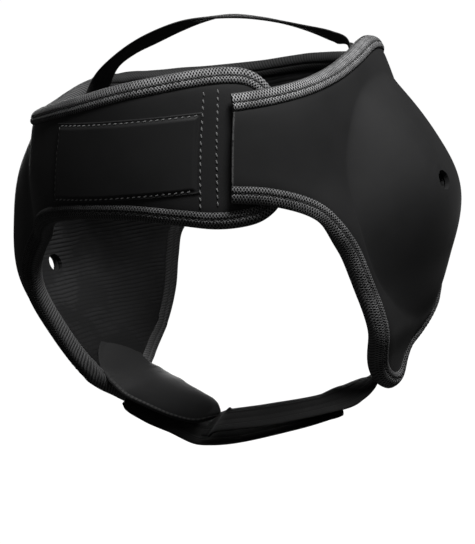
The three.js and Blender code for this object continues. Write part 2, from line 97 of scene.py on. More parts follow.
# Straps
CROWN_WIDTH = 25
CROWN_WALL = 1.6
CHIN_WIDTH = 20
CHIN_WALL = 2
CHIN_PAD_WIDTH = 46
CHIN_PAD_WALL = 4
CROWN_RIBBON = {"width": CROWN_WIDTH, "wall": CROWN_WALL, "sections": 40, "steps": 220}
CHIN_RIBBON = {"width": CHIN_WIDTH, "wall": CHIN_WALL, "sections": 40, "steps": 160}
TONGUE_RIBBON = {
    "width": CHIN_PAD_WIDTH, "wall": CHIN_PAD_WALL, "sections": 72, "steps": 124,
    "rounding": 2.2, "crown": 1.0, "round_end": 14, "thin_start": 30,
}

# Faces across each side's cloth, and down it
SHELL_GRID = {"left": 330, "right": 210, "down": 104}
LINING_GRID = {"left": 330, "right": 190, "down": 110}
PANEL_PLACES = 240
PANEL_SHARES = 25
SEAM_STEPS = {"left": 500, "right": 400, "end": 14}
LINING_START_STEPS = 35

# Ribbons: places measured along one, the shape of its section and round end, and of a tongue's sewn base
RIBBON_PLACES = 400
SIDE_ROUNDING = 2.2
END_LEAST, END_TAPER, END_THIN = 0.02, 0.12, 0.25
BASE_BREADTH, BASE_THICKNESS = 0.72, 0.18

# Cloth relief, in millimetres: a pinch at the seams, and ripples by length, height and seed
SHELL_PINCH, SHELL_PINCH_REACH = 0.75, 2.4
SHELL_RIPPLE, SHELL_RIPPLE_MARGIN = (55, 0.3, 3), 12
SHELL_TRIM = 0.5
LINING_PINCH, LINING_PINCH_REACH = 1.5, 2.0
LINING_RIPPLE, LINING_RIPPLE_MARGIN = (26, 0.35, 5), 8
PAD_SPARE = 1.2
PAD_LEAST = 0.05
RIPPLE_WAVES = 5
RIPPLE_SPREAD = (0.7, 1.5)
RIPPLE_PHASE = 6.28

# The hollow for each ear and the soft roll under it: ranges across, over the cup and up from the foot seam
EAR_RAMP = (55, 70)
HOLLOW_REACH, HOLLOW_MARGIN, HOLLOW_SHARE = (0.5, 0.8), (12.3, 14.2), 0.62
ROLL_REACH, ROLL_PLACE, ROLL_BREADTH, ROLL_HEIGHT = (0.6, 0.95), 10.5, 3.0, 0.7
LINING_MIDDLE = (0, 0, -0.03)

# Folded tape, in millimetres: its width, its section's own width, its steps, and its stitched pucker
BINDING_WIDTH = 7.5
SECTION_WIDTH = 7.5
TAPE_STEP = 1.25
TAPE_LEAST_STEPS = 8
TAPE_RING = 44
TAPE_FOLD = 9
STITCH_LINE = 2.8
PUCKER_SHARE, PUCKER_PITCH, PUCKER_BREADTH = 0.1, 3.1, 1.2
RAW_END_RAMP = (1, 8)

# Forehead plates, in millimetres: face, wall and pressed field, and the shape of the pressed margin
PATCH_PLATE = {"face": -0.7, "wall": 0.8, "across": 150, "down": 74, "press": 0.75}
HOOK_PLATE = {"face": -2.3, "wall": 1.8, "across": 30, "down": 60, "press": 0.0}
FIELD_RAMP = (1.6, 3.4)
GROOVE_DEPTH, GROOVE_PLACE, GROOVE_BREADTH = 0.25, 1.3, 0.5
CUT_EDGE_DROP, CUT_EDGE_REACH = 0.6, 0.5
# Added to a map's length so that the raw end's paler colour stays off the piece
PAST_RAW_END = 20

# Stitches: pitch as a share of the set pitch, length and thickness in millimetres, slant in degrees
SEAM_STITCH = {"pitch": 1.0, "long": 2.2, "thick": 0.3, "slant": 8}
COLUMN_STITCH = {"pitch": 1.08, "long": 2.5, "thick": 0.42, "slant": 16}
PATCH_STITCH = {"pitch": 1.0, "long": 2.1, "thick": 0.34, "slant": 14}
STITCH_PITCH = 3.1
STITCH_SEED, STITCH_DRIFT, STITCH_SWAY, STITCH_AHEAD = 11, 0.12, 4, 0.4
STITCH_PLACES = 60
# How far stitches stand on the tape, on the tab and on the patch
SEAM_STITCH_RISE, COLUMN_STITCH_DEPTH, PATCH_STITCH_DEPTH, PATCH_INNER_DEPTH = 0.45, -0.12, -0.75, 0.3
# Turn and height in millimetres of each stitched column's top and foot on the tab
STITCH_COLUMNS = (
    ((26.6, 40.4), (20.7, -15.6)),
    ((30.6, 40.1), (25.3, -17.3)),
)
# Ends of each stitched line on the patch, as shares across and down it
PATCH_LINES = (
    (0.028, 0.04, 0.972, 0.04),
    (0.028, 0.96, 0.972, 0.96),
    (0.028, 0.04, 0.028, 0.96),
)

# Angles, in degrees, under which faces are shaded as one
TAPE_ANGLE, STRAP_ANGLE, STITCH_ANGLE = 70, 60, 80


def table(columns, rows):
    """Named columns of numbers, one row for a section."""
    values = np.array(rows, float)
    return {name: values[:, index] for index, name in enumerate(columns.split())}


HEAD_ROWS = table("height width front back square side", [
    (-1.05, 0.90, 0.92, 0.92, 2.3, -0.01),
    (-0.84, 0.91, 0.96, 0.94, 2.4, -0.013),
    (-0.70, 1.01, 0.98, 0.96, 2.45, 0),
    (-0.50, 1.03, 1.00, 0.98, 2.5, 0),
    (-0.30, 1.05, 1.00, 1.00, 2.5, 0),
    (-0.10, 1.03, 1.00, 1.01, 2.3, 0),
    (0.10, 1.02, 1.00, 1.01, 2.15, 0.012),
    (0.30, 0.94, 0.98, 0.98, 2.15, 0.042),
    (0.45, 0.91, 0.95, 0.95, 2.1, 0.048),
])
RIGHT_ROWS = table("top_turn top_rise foot_turn drop", [
    (33.5, 0.60, 30, 0.053),
    (42, 0.57, 38.5, 0.087),
    (51, 0.56, 47, 0.143),
    (58, 0.57, 52.5, 0.20),
    (64, 0.59, 56.5, 0.275),
    (70, 0.615, 60, 0.36),
    (75, 0.64, 62.5, 0.45),
    (80, 0.67, 65, 0.55),
    (84, 0.695, 67, 0.655),
    (88, 0.72, 69.5, 0.765),
    (92, 0.745, 74, 0.848),
    (96, 0.77, 79, 0.888),
    (100, 0.79, 84, 0.884),
    (104, 0.8, 88, 0.842),
    (108, 0.8, 92, 0.8),
    (112, 0.79, 99, 0.775),
    (116, 0.775, 106, 0.74),
    (120, 0.75, 113, 0.68),
    (124, 0.72, 119, 0.60),
    (128, 0.69, 124, 0.50),
    (132, 0.66, 128, 0.39),
    (137, 0.63, 132.5, 0.28),
    (143, 0.6, 140, 0.195),
    (151, 0.585, 150, 0.16),
    (161, 0.61, 161, 0.15),
    (BACK_SEAM_TURN, 0.642, BACK_SEAM_TURN, 0.15),
])
LEFT_ROWS = table("top_turn top_rise foot_turn drop", [
    (44.5, 0.42, 43, 0.035),
    (43.5, 0.64, 41, 0.095),
    (40, 0.80, 37, 0.13),
    (34, 0.88, 32, 0.14),
    (25, 0.92, 24, 0.13),
    (14, 0.93, 14, 0.095),
    (2, 0.925, 2, 0.055),
    (-11, 0.89, -11, 0.03),
    (-23, 0.86, -23, 0.02),
    (-34, 0.83, -33, 0.03),
    (-44, 0.81, -42, 0.06),
    (-53, 0.80, -50.5, 0.12),
    (-60, 0.80, -57, 0.21),
    (-66, 0.81, -60.5, 0.31),
    (-72, 0.825, -62.5, 0.41),
    (-77, 0.84, -64, 0.51),
    (-82, 0.86, -65.5, 0.61),
    (-87, 0.89, -67, 0.705),
    (-91, 0.91, -71, 0.77),
    (-95, 0.93, -76.5, 0.815),
    (-99, 0.94, -82, 0.85),
    (-103, 0.94, -87.5, 0.866),
    (-107, 0.935, -92, 0.84),
    (-111, 0.925, -97, 0.79),
    (-115, 0.905, -103.5, 0.755),
    (-119, 0.9, -111, 0.70),
    (-123, 0.885, -118, 0.625),
    (-127, 0.862, -123.5, 0.53),
    (-131, 0.843, -127.5, 0.42),
    (-136, 0.82, -131.5, 0.30),
    (-142, 0.795, -139, 0.205),
    (-150, 0.75, -149, 0.16),
    (-160, 0.705, -160, 0.15),
    (-171, 0.665, -171, 0.15),
    (-180, 0.652, -180, 0.15),
    (BACK_SEAM_TURN - 360, 0.642, BACK_SEAM_TURN - 360, 0.15),
])
CROWN_ROWS = table("x y z lean wide", [
    (-0.935, 0.08, 0.12, -90, 1),
    (-0.88, 0.08, 0.18, -90, 1),
    (-0.8, 0.08, 0.25, -90, 1),
    (-0.735, 0.08, 0.325, -90, 1),
    (-0.65, 0.08, 0.386, -91, 1),
    (-0.52, 0.08, 0.429, -87, 1),
    (-0.36, 0.08, 0.462, -81, 1),
    (-0.19, 0.08, 0.488, -80.5, 1),
    (-0.02, 0.08, 0.503, -82.5, 1),
    (0.15, 0.08, 0.5, -86.5, 1),
    (0.33, 0.08, 0.4755, -82, 1),
    (0.51, 0.08, 0.4365, -77, 1),
    (0.69, 0.08, 0.384, -69, 1),
    (0.8, 0.1, 0.3445, -62, 0.95),
    (0.862, 0.125, 0.308, -58, 0.8),
    (0.884, 0.14, 0.255, -62, 0.7),
    (0.888, 0.145, 0.19, -68, 0.7),
])
CHIN_LEFT_ROWS = table("x y z lean wide", [
    (-0.715, -0.195, -0.862, 84, 0.9),
    (-0.751, -0.212, -0.879, 76, 1),
    (-0.619, -0.25, -0.919, 72, 1),
    (-0.448, -0.308, -0.952, 71, 1),
    (-0.286, -0.365, -0.984, 70, 1),
    (-0.112, -0.442, -0.99, 70, 1),
    (0.083, -0.457, -0.987, 70, 1),
    (0.366, -0.413, -0.973, 70, 0.92),
    (0.535, -0.346, -0.971, 70, 0.6),
    (0.598, -0.308, -0.982, 70, 0.2),
])
CHIN_RIGHT_ROWS = table("x y z lean wide", [
    (0.768, -0.12, -0.85, 75, 0.5),
    (0.735, -0.18, -0.89, 70, 0.85),
    (0.66, -0.279, -0.92, 70, 1),
    (0.546, -0.375, -0.93, 73, 1),
    (0.371, -0.433, -0.934, 72, 1),
    (0.18, -0.481, -0.933, 71, 1),
    (-0.024, -0.481, -0.936, 70, 0.95),
    (-0.1, -0.448, -0.949, 71, 1.0),
    (-0.16, -0.42, -0.957, 71, 0.9),
])
CHIN_PAD_ROWS = table("x y z lean wide", [
    (-0.91, -0.03, -0.685, 93, 0.6),
    (-0.862, -0.08, -0.725, 92, 0.82),
    (-0.812, -0.115, -0.76, 90, 0.95),
    (-0.755, -0.142, -0.795, 88, 0.94),
    (-0.68, -0.174, -0.825, 85, 0.84),
    (-0.554, -0.231, -0.856, 80, 0.71),
    (-0.4, -0.281, -0.894, 72, 0.57),
    (-0.28, -0.311, -0.9195, 67, 0.45),
    (-0.205, -0.326, -0.93, 66, 0.36),
    (-0.147, -0.336, -0.937, 66, 0.22),
])
PATCH_ROWS = table("left_turn left_rise right_turn right_rise", [
    (-20, 0.8, 25.5, 0.64),
    (-26, 0, 21.5, -0.15),
])
HOOK_ROWS = table("left_turn left_rise right_turn right_rise", [
    (35, 0.52, 41, 0.52),
    (34, -0.02, 40, -0.02),
])


def smooth(low, high, value):
    """A smooth step from 0 at low to 1 at high."""
    share = np.clip((value - low) / (high - low), 0, 1)
    return share * share * (3 - 2 * share)


def curve(start, end, start_slope, end_slope, share):
    """A cubic from start to end with the given slopes, at a share of the way."""
    square, cube = share**2, share**3
    return (
        start * (2 * cube - 3 * square + 1)
        + start_slope * (cube - 2 * square + share)
        + end * (3 * square - 2 * cube)
        + end_slope * (cube - square)
    )


def between(column, place):
    """Value of a table's column at a place between its rows, on a smooth curve through them."""
    last = len(column) - 1
    index = np.minimum(np.floor(place).astype(int), last - 1)
    before, start = column[np.maximum(index - 1, 0)], column[index]
    end, after = column[index + 1], column[np.minimum(index + 2, last)]
    return curve(start, end, (end - before) / 2, (after - start) / 2, place - index)


def head_plan(height):
    """Plan sizes of the head at each height, smooth from row to row."""
    rise = HEAD_ROWS["height"]
    share = np.clip(np.asarray(height, float) / EAR_DROP, rise[0], rise[-1])
    index = np.clip(np.searchsorted(rise, share) - 1, 0, len(rise) - 2)
    step = rise[index + 1] - rise[index]
    part = (share - rise[index]) / step

    def column(name):
        values = HEAD_ROWS[name]
        slopes = np.gradient(values, rise)
        return curve(values[index], values[index + 1], slopes[index] * step, slopes[index + 1] * step, part)

    return (
        column("width") * RING_HALF_WIDTH,
        column("front") * RING_FRONT,
        column("back") * RING_BACK,
        column("square"),
        column("side") * RING_HALF_WIDTH,
    )


def cup_reach(cup, y, z):
    """0 at the middle of an ear cup and 1 at its rim."""
    along, up = y - cup["y"], z - cup["z"]
    along = along / np.where(along < 0, cup["front"], cup["back"])
    up = up / np.where(up > 0, cup["rise"], cup["fall"])
    return np.abs(along) ** CUP_FULLNESS + up**2


def cup_swell(cup, y, z):
    return cup["depth"] * np.clip(1 - cup_reach(cup, y, z), 0, None) ** CUP_ROUNDNESS


def wall_point(turn, height):
    """A point on the outer face of the padded wall, in millimetres."""
    turn, height = np.broadcast_arrays(np.asarray(turn, float), np.asarray(height, float))
    width, front, back, square, side = head_plan(height)
    sine, cosine = np.sin(np.radians(turn)), np.cos(np.radians(turn))
    depth = np.where(cosine > 0, front, back)
    radius = (np.abs(sine / width) ** square + np.abs(cosine / depth) ** square) ** (-1 / square)
    x, y = radius * sine, -radius * cosine
    swell = np.where(x > 0, cup_swell(CUPS["right"], y, height), -cup_swell(CUPS["left"], y, height))
    return np.stack([x + side + swell, y, height], -1)


def unit(vectors):
    return vectors / np.linalg.norm(vectors, axis=-1, keepdims=True)


def wall_normal(turn, height):
    nudge = 0.2
    around = wall_point(turn + nudge, height) - wall_point(turn - nudge, height)
    up = wall_point(turn, height + nudge) - wall_point(turn, height - nudge)
    return unit(np.cross(around, up))


def closure_offset(side, turn):
    """The right end is lifted over the tab, and the tab sinks under it."""
    if side == "right":
        return END_LIFT * (1 - smooth(LIFT_FULL_TURN, LIFT_FADE_TURN, turn))
    return -TAB_SINK * smooth(0, SINK_FULL_TURN, turn)


def layer_point(side, turn, height, depth):
    """A point at a depth under the wall's outer face, with the closure's offset."""
    out = closure_offset(side, turn) - depth
    return wall_point(turn, height) + wall_normal(turn, height) * np.asarray(out)[..., None]


class Panel:
    """One side's cloth: the places between its seam edges, and how far each is from them."""

    def __init__(self, side, rows, start=0.0):
        self.side, self.rows, self.start = side, rows, start
        self.last = len(rows["drop"]) - 1.0
        self.places = np.linspace(start, self.last, PANEL_PLACES)
        grid = self.points(self.places[:, None], np.linspace(0, 1, PANEL_SHARES)[None, :], 0)
        steps = np.linalg.norm(np.diff(grid, axis=1), axis=2)
        middle = np.linalg.norm(np.diff(grid[:, PANEL_SHARES // 2], axis=0), axis=1)
        self.spans = steps.sum(1)
        self.runs = np.concatenate([[0], np.cumsum(middle)])

    def seat(self, place, share):
        top, foot = between(self.rows["top_turn"], place), between(self.rows["foot_turn"], place)
        rise = between(self.rows["top_rise"], place) * BAND_RISE
        drop = -between(self.rows["drop"], place) * EAR_DROP
        return top + (foot - top) * share, rise + (drop - rise) * share

    def points(self, place, share, depth):
        turn, height = self.seat(*np.broadcast_arrays(place, share))
        return layer_point(self.side, turn, height, depth)

    def span(self, place):
        return np.interp(place, self.places, self.spans)

    def run(self, place):
        return np.interp(place, self.places, self.runs)


def ripple(places, size, height, seed):
    """Gentle unevenness of hand-sewn padding: a few crossed waves about size millimetres long."""
    rng = np.random.default_rng(seed)
    total = np.zeros(len(places))
    for _ in range(RIPPLE_WAVES):
        direction = unit(rng.normal(size=3)) * (2 * math.pi / (size * rng.uniform(*RIPPLE_SPREAD)))
        total += np.sin(places @ direction + rng.uniform(0, RIPPLE_PHASE))
    return height * total / RIPPLE_WAVES


# Making pieces


def clear_selection():
    bpy.ops.object.select_all(action="DESELECT")


def select_alone(piece):
    clear_selection()
    piece.select_set(True)
    bpy.context.view_layer.objects.active = piece


def read_places(mesh):
    """The places of a mesh's points, in metres."""
    flat = np.empty(len(mesh.vertices) * 3)
    mesh.vertices.foreach_get("co", flat)
    return flat.reshape(-1, 3)


def grid_piece(name, across, down, shape, tube=False):
    """A grid primitive with its points moved to their places, and a cloth map along and across."""
    clear_selection()
    bpy.ops.mesh.primitive_grid_add(x_subdivisions=across, y_subdivisions=down, size=2, calc_uvs=True)
    piece = bpy.context.active_object
    piece.name = piece.data.name = name
    mesh = piece.data
    flat = read_places(mesh)
    corner = np.empty(len(mesh.loops), int)
    mesh.loops.foreach_get("vertex_index", corner)
    places, along, side = shape((flat[:, 0] + 1) / 2, (flat[:, 1] + 1) / 2)
    cloth = np.stack([along, side], -1)[corner] / PER_MAP_UNIT
    mesh.uv_layers.active.data.foreach_set("uv", cloth.ravel())
    mesh.uv_layers.active.name = "cloth"
    mesh.vertices.foreach_set("co", (places / PER_METRE).ravel())
    mesh.update()
    if tube:
        bpy.ops.object.mode_set(mode="EDIT")
        bpy.ops.mesh.select_all(action="SELECT")
        bpy.ops.mesh.remove_doubles(threshold=1e-6)
        bpy.ops.mesh.select_all(action="DESELECT")
        bpy.ops.mesh.select_mode(type="EDGE")
        bpy.ops.mesh.select_non_manifold(extend=False, use_boundary=True, use_wire=False,
                                         use_multi_face=False, use_non_contiguous=False, use_verts=False)
        bpy.ops.mesh.edge_face_add()
        bpy.ops.mesh.select_all(action="SELECT")
        bpy.ops.mesh.normals_make_consistent(inside=False)
        bpy.ops.object.mode_set(mode="OBJECT")
    return piece


def turn_inside_out(piece):
    bpy.ops.object.mode_set(mode="EDIT")
    bpy.ops.mesh.select_all(action="SELECT")
    bpy.ops.mesh.flip_normals()
    bpy.ops.object.mode_set(mode="OBJECT")


def faces_towards(piece, centre):
    """True where most faces look towards a point, in metres."""
    mesh = piece.data
    normals, middles = np.empty(len(mesh.polygons) * 3), np.empty(len(mesh.polygons) * 3)
    mesh.polygons.foreach_get("normal", normals)
    mesh.polygons.foreach_get("center", middles)
    look = (np.array(centre) - middles.reshape(-1, 3)) * normals.reshape(-1, 3)
    return look.sum(1).mean() > 0


def thicken(piece, wall, group=None):
    """A wall of cloth behind the piece's faces, in millimetres."""
    select_alone(piece)
    bpy.ops.object.modifier_add(type="SOLIDIFY")
    modifier = piece.modifiers[-1]
    modifier.thickness = wall / PER_METRE
    modifier.offset = -1
    modifier.use_even_offset = False
    if group:
        modifier.vertex_group = group
    bpy.ops.object.modifier_apply(modifier=modifier.name)


def hole_offsets(places, side):
    """Each point's offset from the ear hole's middle, its distance, and whether it is at that ear."""
    away = places[:, 1:] - np.array([EAR_HOLE_Y, EAR_HOLE_Z[side]]) / PER_METRE
    at_ear = places[:, 0] * (1 if side == "right" else -1) > EAR_SIDE
    return away, np.linalg.norm(away, axis=1), at_ear


def punch_ear_hole(piece, side):
    """A round hole along X: the points inside it are taken out and those round it make its rim."""
    mesh = piece.data
    hole = EAR_HOLE / 2 / PER_METRE
    _, radius, at_ear = hole_offsets(read_places(mesh), side)
    select_alone(piece)
    mesh.vertices.foreach_set("select", at_ear & (radius < hole * HOLE_CUT))
    mesh.polygons.foreach_set("select", np.zeros(len(mesh.polygons), bool))
    mesh.edges.foreach_set("select", np.zeros(len(mesh.edges), bool))
    bpy.ops.object.mode_set(mode="EDIT")
    bpy.ops.mesh.select_mode(type="VERT")
    bpy.ops.mesh.delete(type="VERT")
    bpy.ops.object.mode_set(mode="OBJECT")
    places = read_places(mesh)
    away, radius, at_ear = hole_offsets(places, side)
    uses = Counter(edge for polygon in mesh.polygons for edge in polygon.edge_keys)
    border = [point for edge, count in uses.items() if count == 1 for point in edge]
    on_border = np.isin(np.arange(len(places)), border)
    rim = at_ear & on_border & (radius < hole * HOLE_SEARCH)
    near = at_ear & ~rim & (radius < hole * HOLE_DRAW)
    drawn = (radius - hole * HOLE_START) / (hole * (HOLE_DRAW - HOLE_START))
    wanted = np.where(rim, hole, hole + (hole * HOLE_DRAW - hole) * drawn)
    wanted = np.where(near, np.maximum(wanted, hole * HOLE_CLEAR), wanted)
    moved = rim | near
    places[moved, 1:] += away[moved] * (wanted[moved] / radius[moved] - 1)[:, None]
    mesh.vertices.foreach_set("co", places.ravel())
    mesh.update()


def soften(piece, angle=50):
    select_alone(piece)
    bpy.ops.object.shade_smooth_by_angle(angle=math.radians(angle))


def dress(piece, finish, slot, *nodes):
    """Gives a piece its finish and body, and hides the model's nodes that it stands for. Its slot is not
    used.
    """
    piece.data.materials.clear()
    piece.data.materials.append(finish)
    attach(piece, "root")
    if nodes:
        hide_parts(*nodes)
    return piece


# Finishes

# Across the tape's map, in millimetres, past which it lies inside the headgear; the fold's top is counted in,
# so that it takes the inside's painted shade
TAPE_INSIDE = 8.6
# Along the tongue's map where its dark base fades out, and across it where its stitched rim lies
TONGUE_BASE = (34.0, 66.0)
TONGUE_RIM = 38.5
TONGUE_RIM_RAMP = (1.0, 3.2)
TONGUE_THREAD_PITCH = 2.4
# Ranges in millimetres where a finish changes
RAW_END_FADE = (0.75, 1.35)
BACK_WEAR = (8.0, 34.0)
# Heights over which the lining is painted darker towards the bottom, as painted shade
PAINTED_SHADE_HEIGHT = (-102.0, -42.0)
# Across X, where the tape's yarn is painted darker towards the left side, as painted shade
TAPE_LEFT_SHADE = (-60.0, 80.0)
# Heights over which the tape's yarn is painted lighter towards the top, as painted light
TAPE_PAINTED_LIGHT_HEIGHT = (-14.0, 26.0)
# Depths along Y over which the tape's inside ribs lie flatter and are painted darker towards the back, as
# painted shade
TAPE_FLAT_SHADE_DEPTH = (-4.0, 26.0)
# Pitches of ribs, mesh and cords, in millimetres
LINING_RIB, LINING_RIB_SLOPE = 2.3, 0.11
TAPE_MESH, TAPE_MESH_SLOPE, TAPE_RIB, TAPE_RIB_SLOPE = 1.5, 0.75, 1.9, 0.9
STRAP_CORD, STRAP_TICK, STRAP_STAGGER = 1.1, 0.9, 0.45


class Value:
    """A number that varies over a surface: an expression on values adds its Math nodes."""

    def __init__(self, finish, socket):
        self.finish, self.socket = finish, socket

    def math(self, operation, *others):
        return self.finish.node("Math", {"operation": operation}, dict(enumerate((self, *others))))

    def __add__(self, other):
        return self.math("ADD", other)

    def __sub__(self, other):
        return self.math("SUBTRACT", other)

    def __rsub__(self, other):
        return self.finish.node("Math", {"operation": "SUBTRACT"}, {0: other, 1: self})

    def __mul__(self, other):
        return self.math("MULTIPLY", other)

    def __truediv__(self, other):
        return self.math("DIVIDE", other)

    def __pow__(self, other):
        return self.math("POWER", other)

    __radd__, __rmul__ = __add__, __mul__

    def sine(self):
        return self.math("SINE")

    def size(self):
        return self.math("ABSOLUTE")

    def floor(self):
        return self.math("FLOOR")

    def least(self, other):
        return self.math("MINIMUM", other)

    def most(self, other):
        return self.math("MAXIMUM", other)

    def step(self, low, high):
        settings = {"interpolation_type": "SMOOTHSTEP", "clamp": True}
        return self.finish.node("MapRange", settings, {0: self, 1: low, 2: high, 3: 0.0, 4: 1.0})

    def wave(self, pitch):
        """Rounded ridges from 0 to 1, a pitch apart."""
        return (self * (math.pi / pitch)).sine().size()


class Finish:
    """A material whose nodes are made by one method."""

    def __init__(self, name, **constants):
        self.material = bpy.data.materials.new(name)
        self.material.use_nodes = True
        self.tree = self.material.node_tree
        self.shader = self.tree.nodes["Principled BSDF"]
        for socket, value in constants.items():
            label = socket.replace("_", " ").title().replace("Ior", "IOR")
            self.shader.inputs[label].default_value = value

    def node(self, kind, settings, inputs, output=0):
        node = self.tree.nodes.new("ShaderNode" + kind)
        for name, value in settings.items():
            setattr(node, name, value)
        for key, value in inputs.items():
            if isinstance(value, Value):
                value = value.socket
            if isinstance(value, bpy.types.NodeSocket):
                self.tree.links.new(value, node.inputs[key])
            else:
                node.inputs[key].default_value = value
        return Value(self, node.outputs[output])

    def cloth(self):
        """The piece's own map, in millimetres along and across."""
        place = self.node("UVMap", {"uv_map": "cloth"}, {})
        along = self.node("SeparateXYZ", {}, {0: place}, 0)
        across = self.node("SeparateXYZ", {}, {0: place}, 1)
        return along * PER_MAP_UNIT, across * PER_MAP_UNIT

    def body(self):
        return self.node("TexCoord", {}, {}, 3)

    def place(self, axis):
        """Place along an axis, in millimetres."""
        return self.node("SeparateXYZ", {}, {0: self.body()}, axis) * PER_METRE

    def cloud(self, size, detail=2.0, rough=0.5):
        """Soft noise with features about size millimetres across."""
        inputs = {"Vector": self.body(), "Scale": PER_METRE / size, "Detail": detail, "Roughness": rough}
        return self.node("TexNoise", {}, inputs)

    def blend(self, factor, first, second):
        first, second = (end if isinstance(end, Value) else (*end, 1.0) for end in (first, second))
        return self.node("Mix", {"data_type": "RGBA"}, {0: factor, 6: first, 7: second}, 2)

    def bump(self, height, distance, strength=1.0, under=None):
        inputs = {"Strength": strength, "Distance": distance / PER_METRE, "Height": height}
        if under is not None:
            inputs["Normal"] = under
        return self.node("Bump", {}, inputs)

    def paint(self, colour=None, roughness=None, normal=None, glow=None):
        values = {"Base Color": colour, "Roughness": roughness, "Normal": normal, "Emission Color": glow}
        for name, value in values.items():
            if value is not None:
                self.tree.links.new(value.socket, self.shader.inputs[name])
        return self.material


def tint(colour, share):
    return tuple(channel * share for channel in colour)


def shell_finish(name, colours):
    """Smooth knit over foam: a fine matt grain, faint pressure marks, and a paler raw cut end."""
    finish = Finish(name, roughness=0.6, sheen_weight=0.06, sheen_roughness=0.4, specular_ior_level=0.35)
    colour = tuple(colours.shell)
    along, _ = finish.cloth()
    marks = finish.cloud(38, 3, 0.55).step(0.35, 0.68)
    grain = finish.cloud(0.55, 1.5, 0.6)
    dusty = finish.blend(marks * 0.5 + grain * 0.35, tint(colour, 0.82), tint(colour, 1.16))
    raw = 1 - (along.size() + grain * 0.7).step(*RAW_END_FADE)
    coloured = finish.blend(raw * finish.cloud(1.3).step(0.32, 0.6), dusty, tuple(colours.raw_edge))
    rough = 0.56 + marks * 0.06 + grain * 0.1
    weave = finish.bump(grain, 0.05, 0.55)
    soft = finish.bump(finish.cloud(14, 2, 0.5), 0.5, 0.25, weave)
    return finish.paint(coloured, rough, soft)


def tongue_finish(name, colours):
    """Smooth knit like the shell's, dark at the sewn base, with a stitched front rim."""
    finish = Finish(name, roughness=0.6, sheen_weight=0.08, sheen_roughness=0.4, specular_ior_level=0.3)
    colour = tuple(colours.shell)
    along, across = finish.cloth()
    grain = finish.cloud(0.55, 1.5, 0.6)
    soft = finish.cloud(16, 2, 0.5)
    cloth = finish.blend(soft.step(0.3, 0.7) * 0.5 + grain * 0.35, tint(colour, 1.0), tint(colour, 1.5))
    # Darker towards the sewn base, blending into a dark lining tone
    darker_at_base = finish.blend(1 - (along + soft * 10.0).step(*TONGUE_BASE), cloth, tint(colours.lining, 0.3))
    rim = 1 - (across - TONGUE_RIM).size().step(*TONGUE_RIM_RAMP)
    thread = (along.wave(TONGUE_THREAD_PITCH) * 0.7 + grain * 0.5) * along.step(*TONGUE_BASE)
    piped = finish.blend(rim * thread, darker_at_base, tuple(colours.raw_edge))
    bumps = finish.bump(rim * thread, 0.5, 0.8, finish.bump(grain, 0.05, 0.5))
    return finish.paint(piped, 0.58 + grain * 0.12, bumps)


def lining_finish(name, colours):
    """Ribbed knit: ribs about two millimetres apart that run round the head, worn flatter in places, with
    random darker patches and painted shade towards the bottom.
    """
    finish = Finish(name, roughness=0.85, sheen_weight=0.05, sheen_roughness=0.5, specular_ior_level=0.12)
    colour = tuple(colours.lining)
    wander = (finish.cloud(22, 2, 0.5) - 0.5) * 2.2 + (finish.cloud(5, 2, 0.5) - 0.5) * 0.35
    rib = (finish.place(2) + finish.place(1) * LINING_RIB_SLOPE + wander).wave(LINING_RIB)
    worn = finish.cloud(20, 3, 0.6).step(0.4, 0.6) * (1 - finish.place(1).step(*BACK_WEAR) * 0.6)
    depth = (rib ** 0.7) * (0.2 + worn * 0.8)
    fuzz = finish.cloud(0.6, 2, 0.7)
    shade = finish.blend((depth * 0.72 + fuzz * 0.25).least(1.0), tint(colour, 0.4), tint(colour, 1.2))
    # Painted shade: the lining is painted darker towards the bottom, taken together with random darker
    # patches
    painted_low_shade = 1 - finish.place(2).step(*PAINTED_SHADE_HEIGHT)
    patches_and_low_shade = (finish.cloud(24, 3).step(0.35, 0.7) * 0.4).most(painted_low_shade * 0.9)
    patchy_and_shaded = finish.blend(patches_and_low_shade, shade, tint(colour, 0.1))
    ribs = finish.bump(depth, 0.55, 0.9)
    return finish.paint(patchy_and_shaded, 0.82 + fuzz * 0.12, finish.bump(fuzz, 0.1, 0.5, ribs))


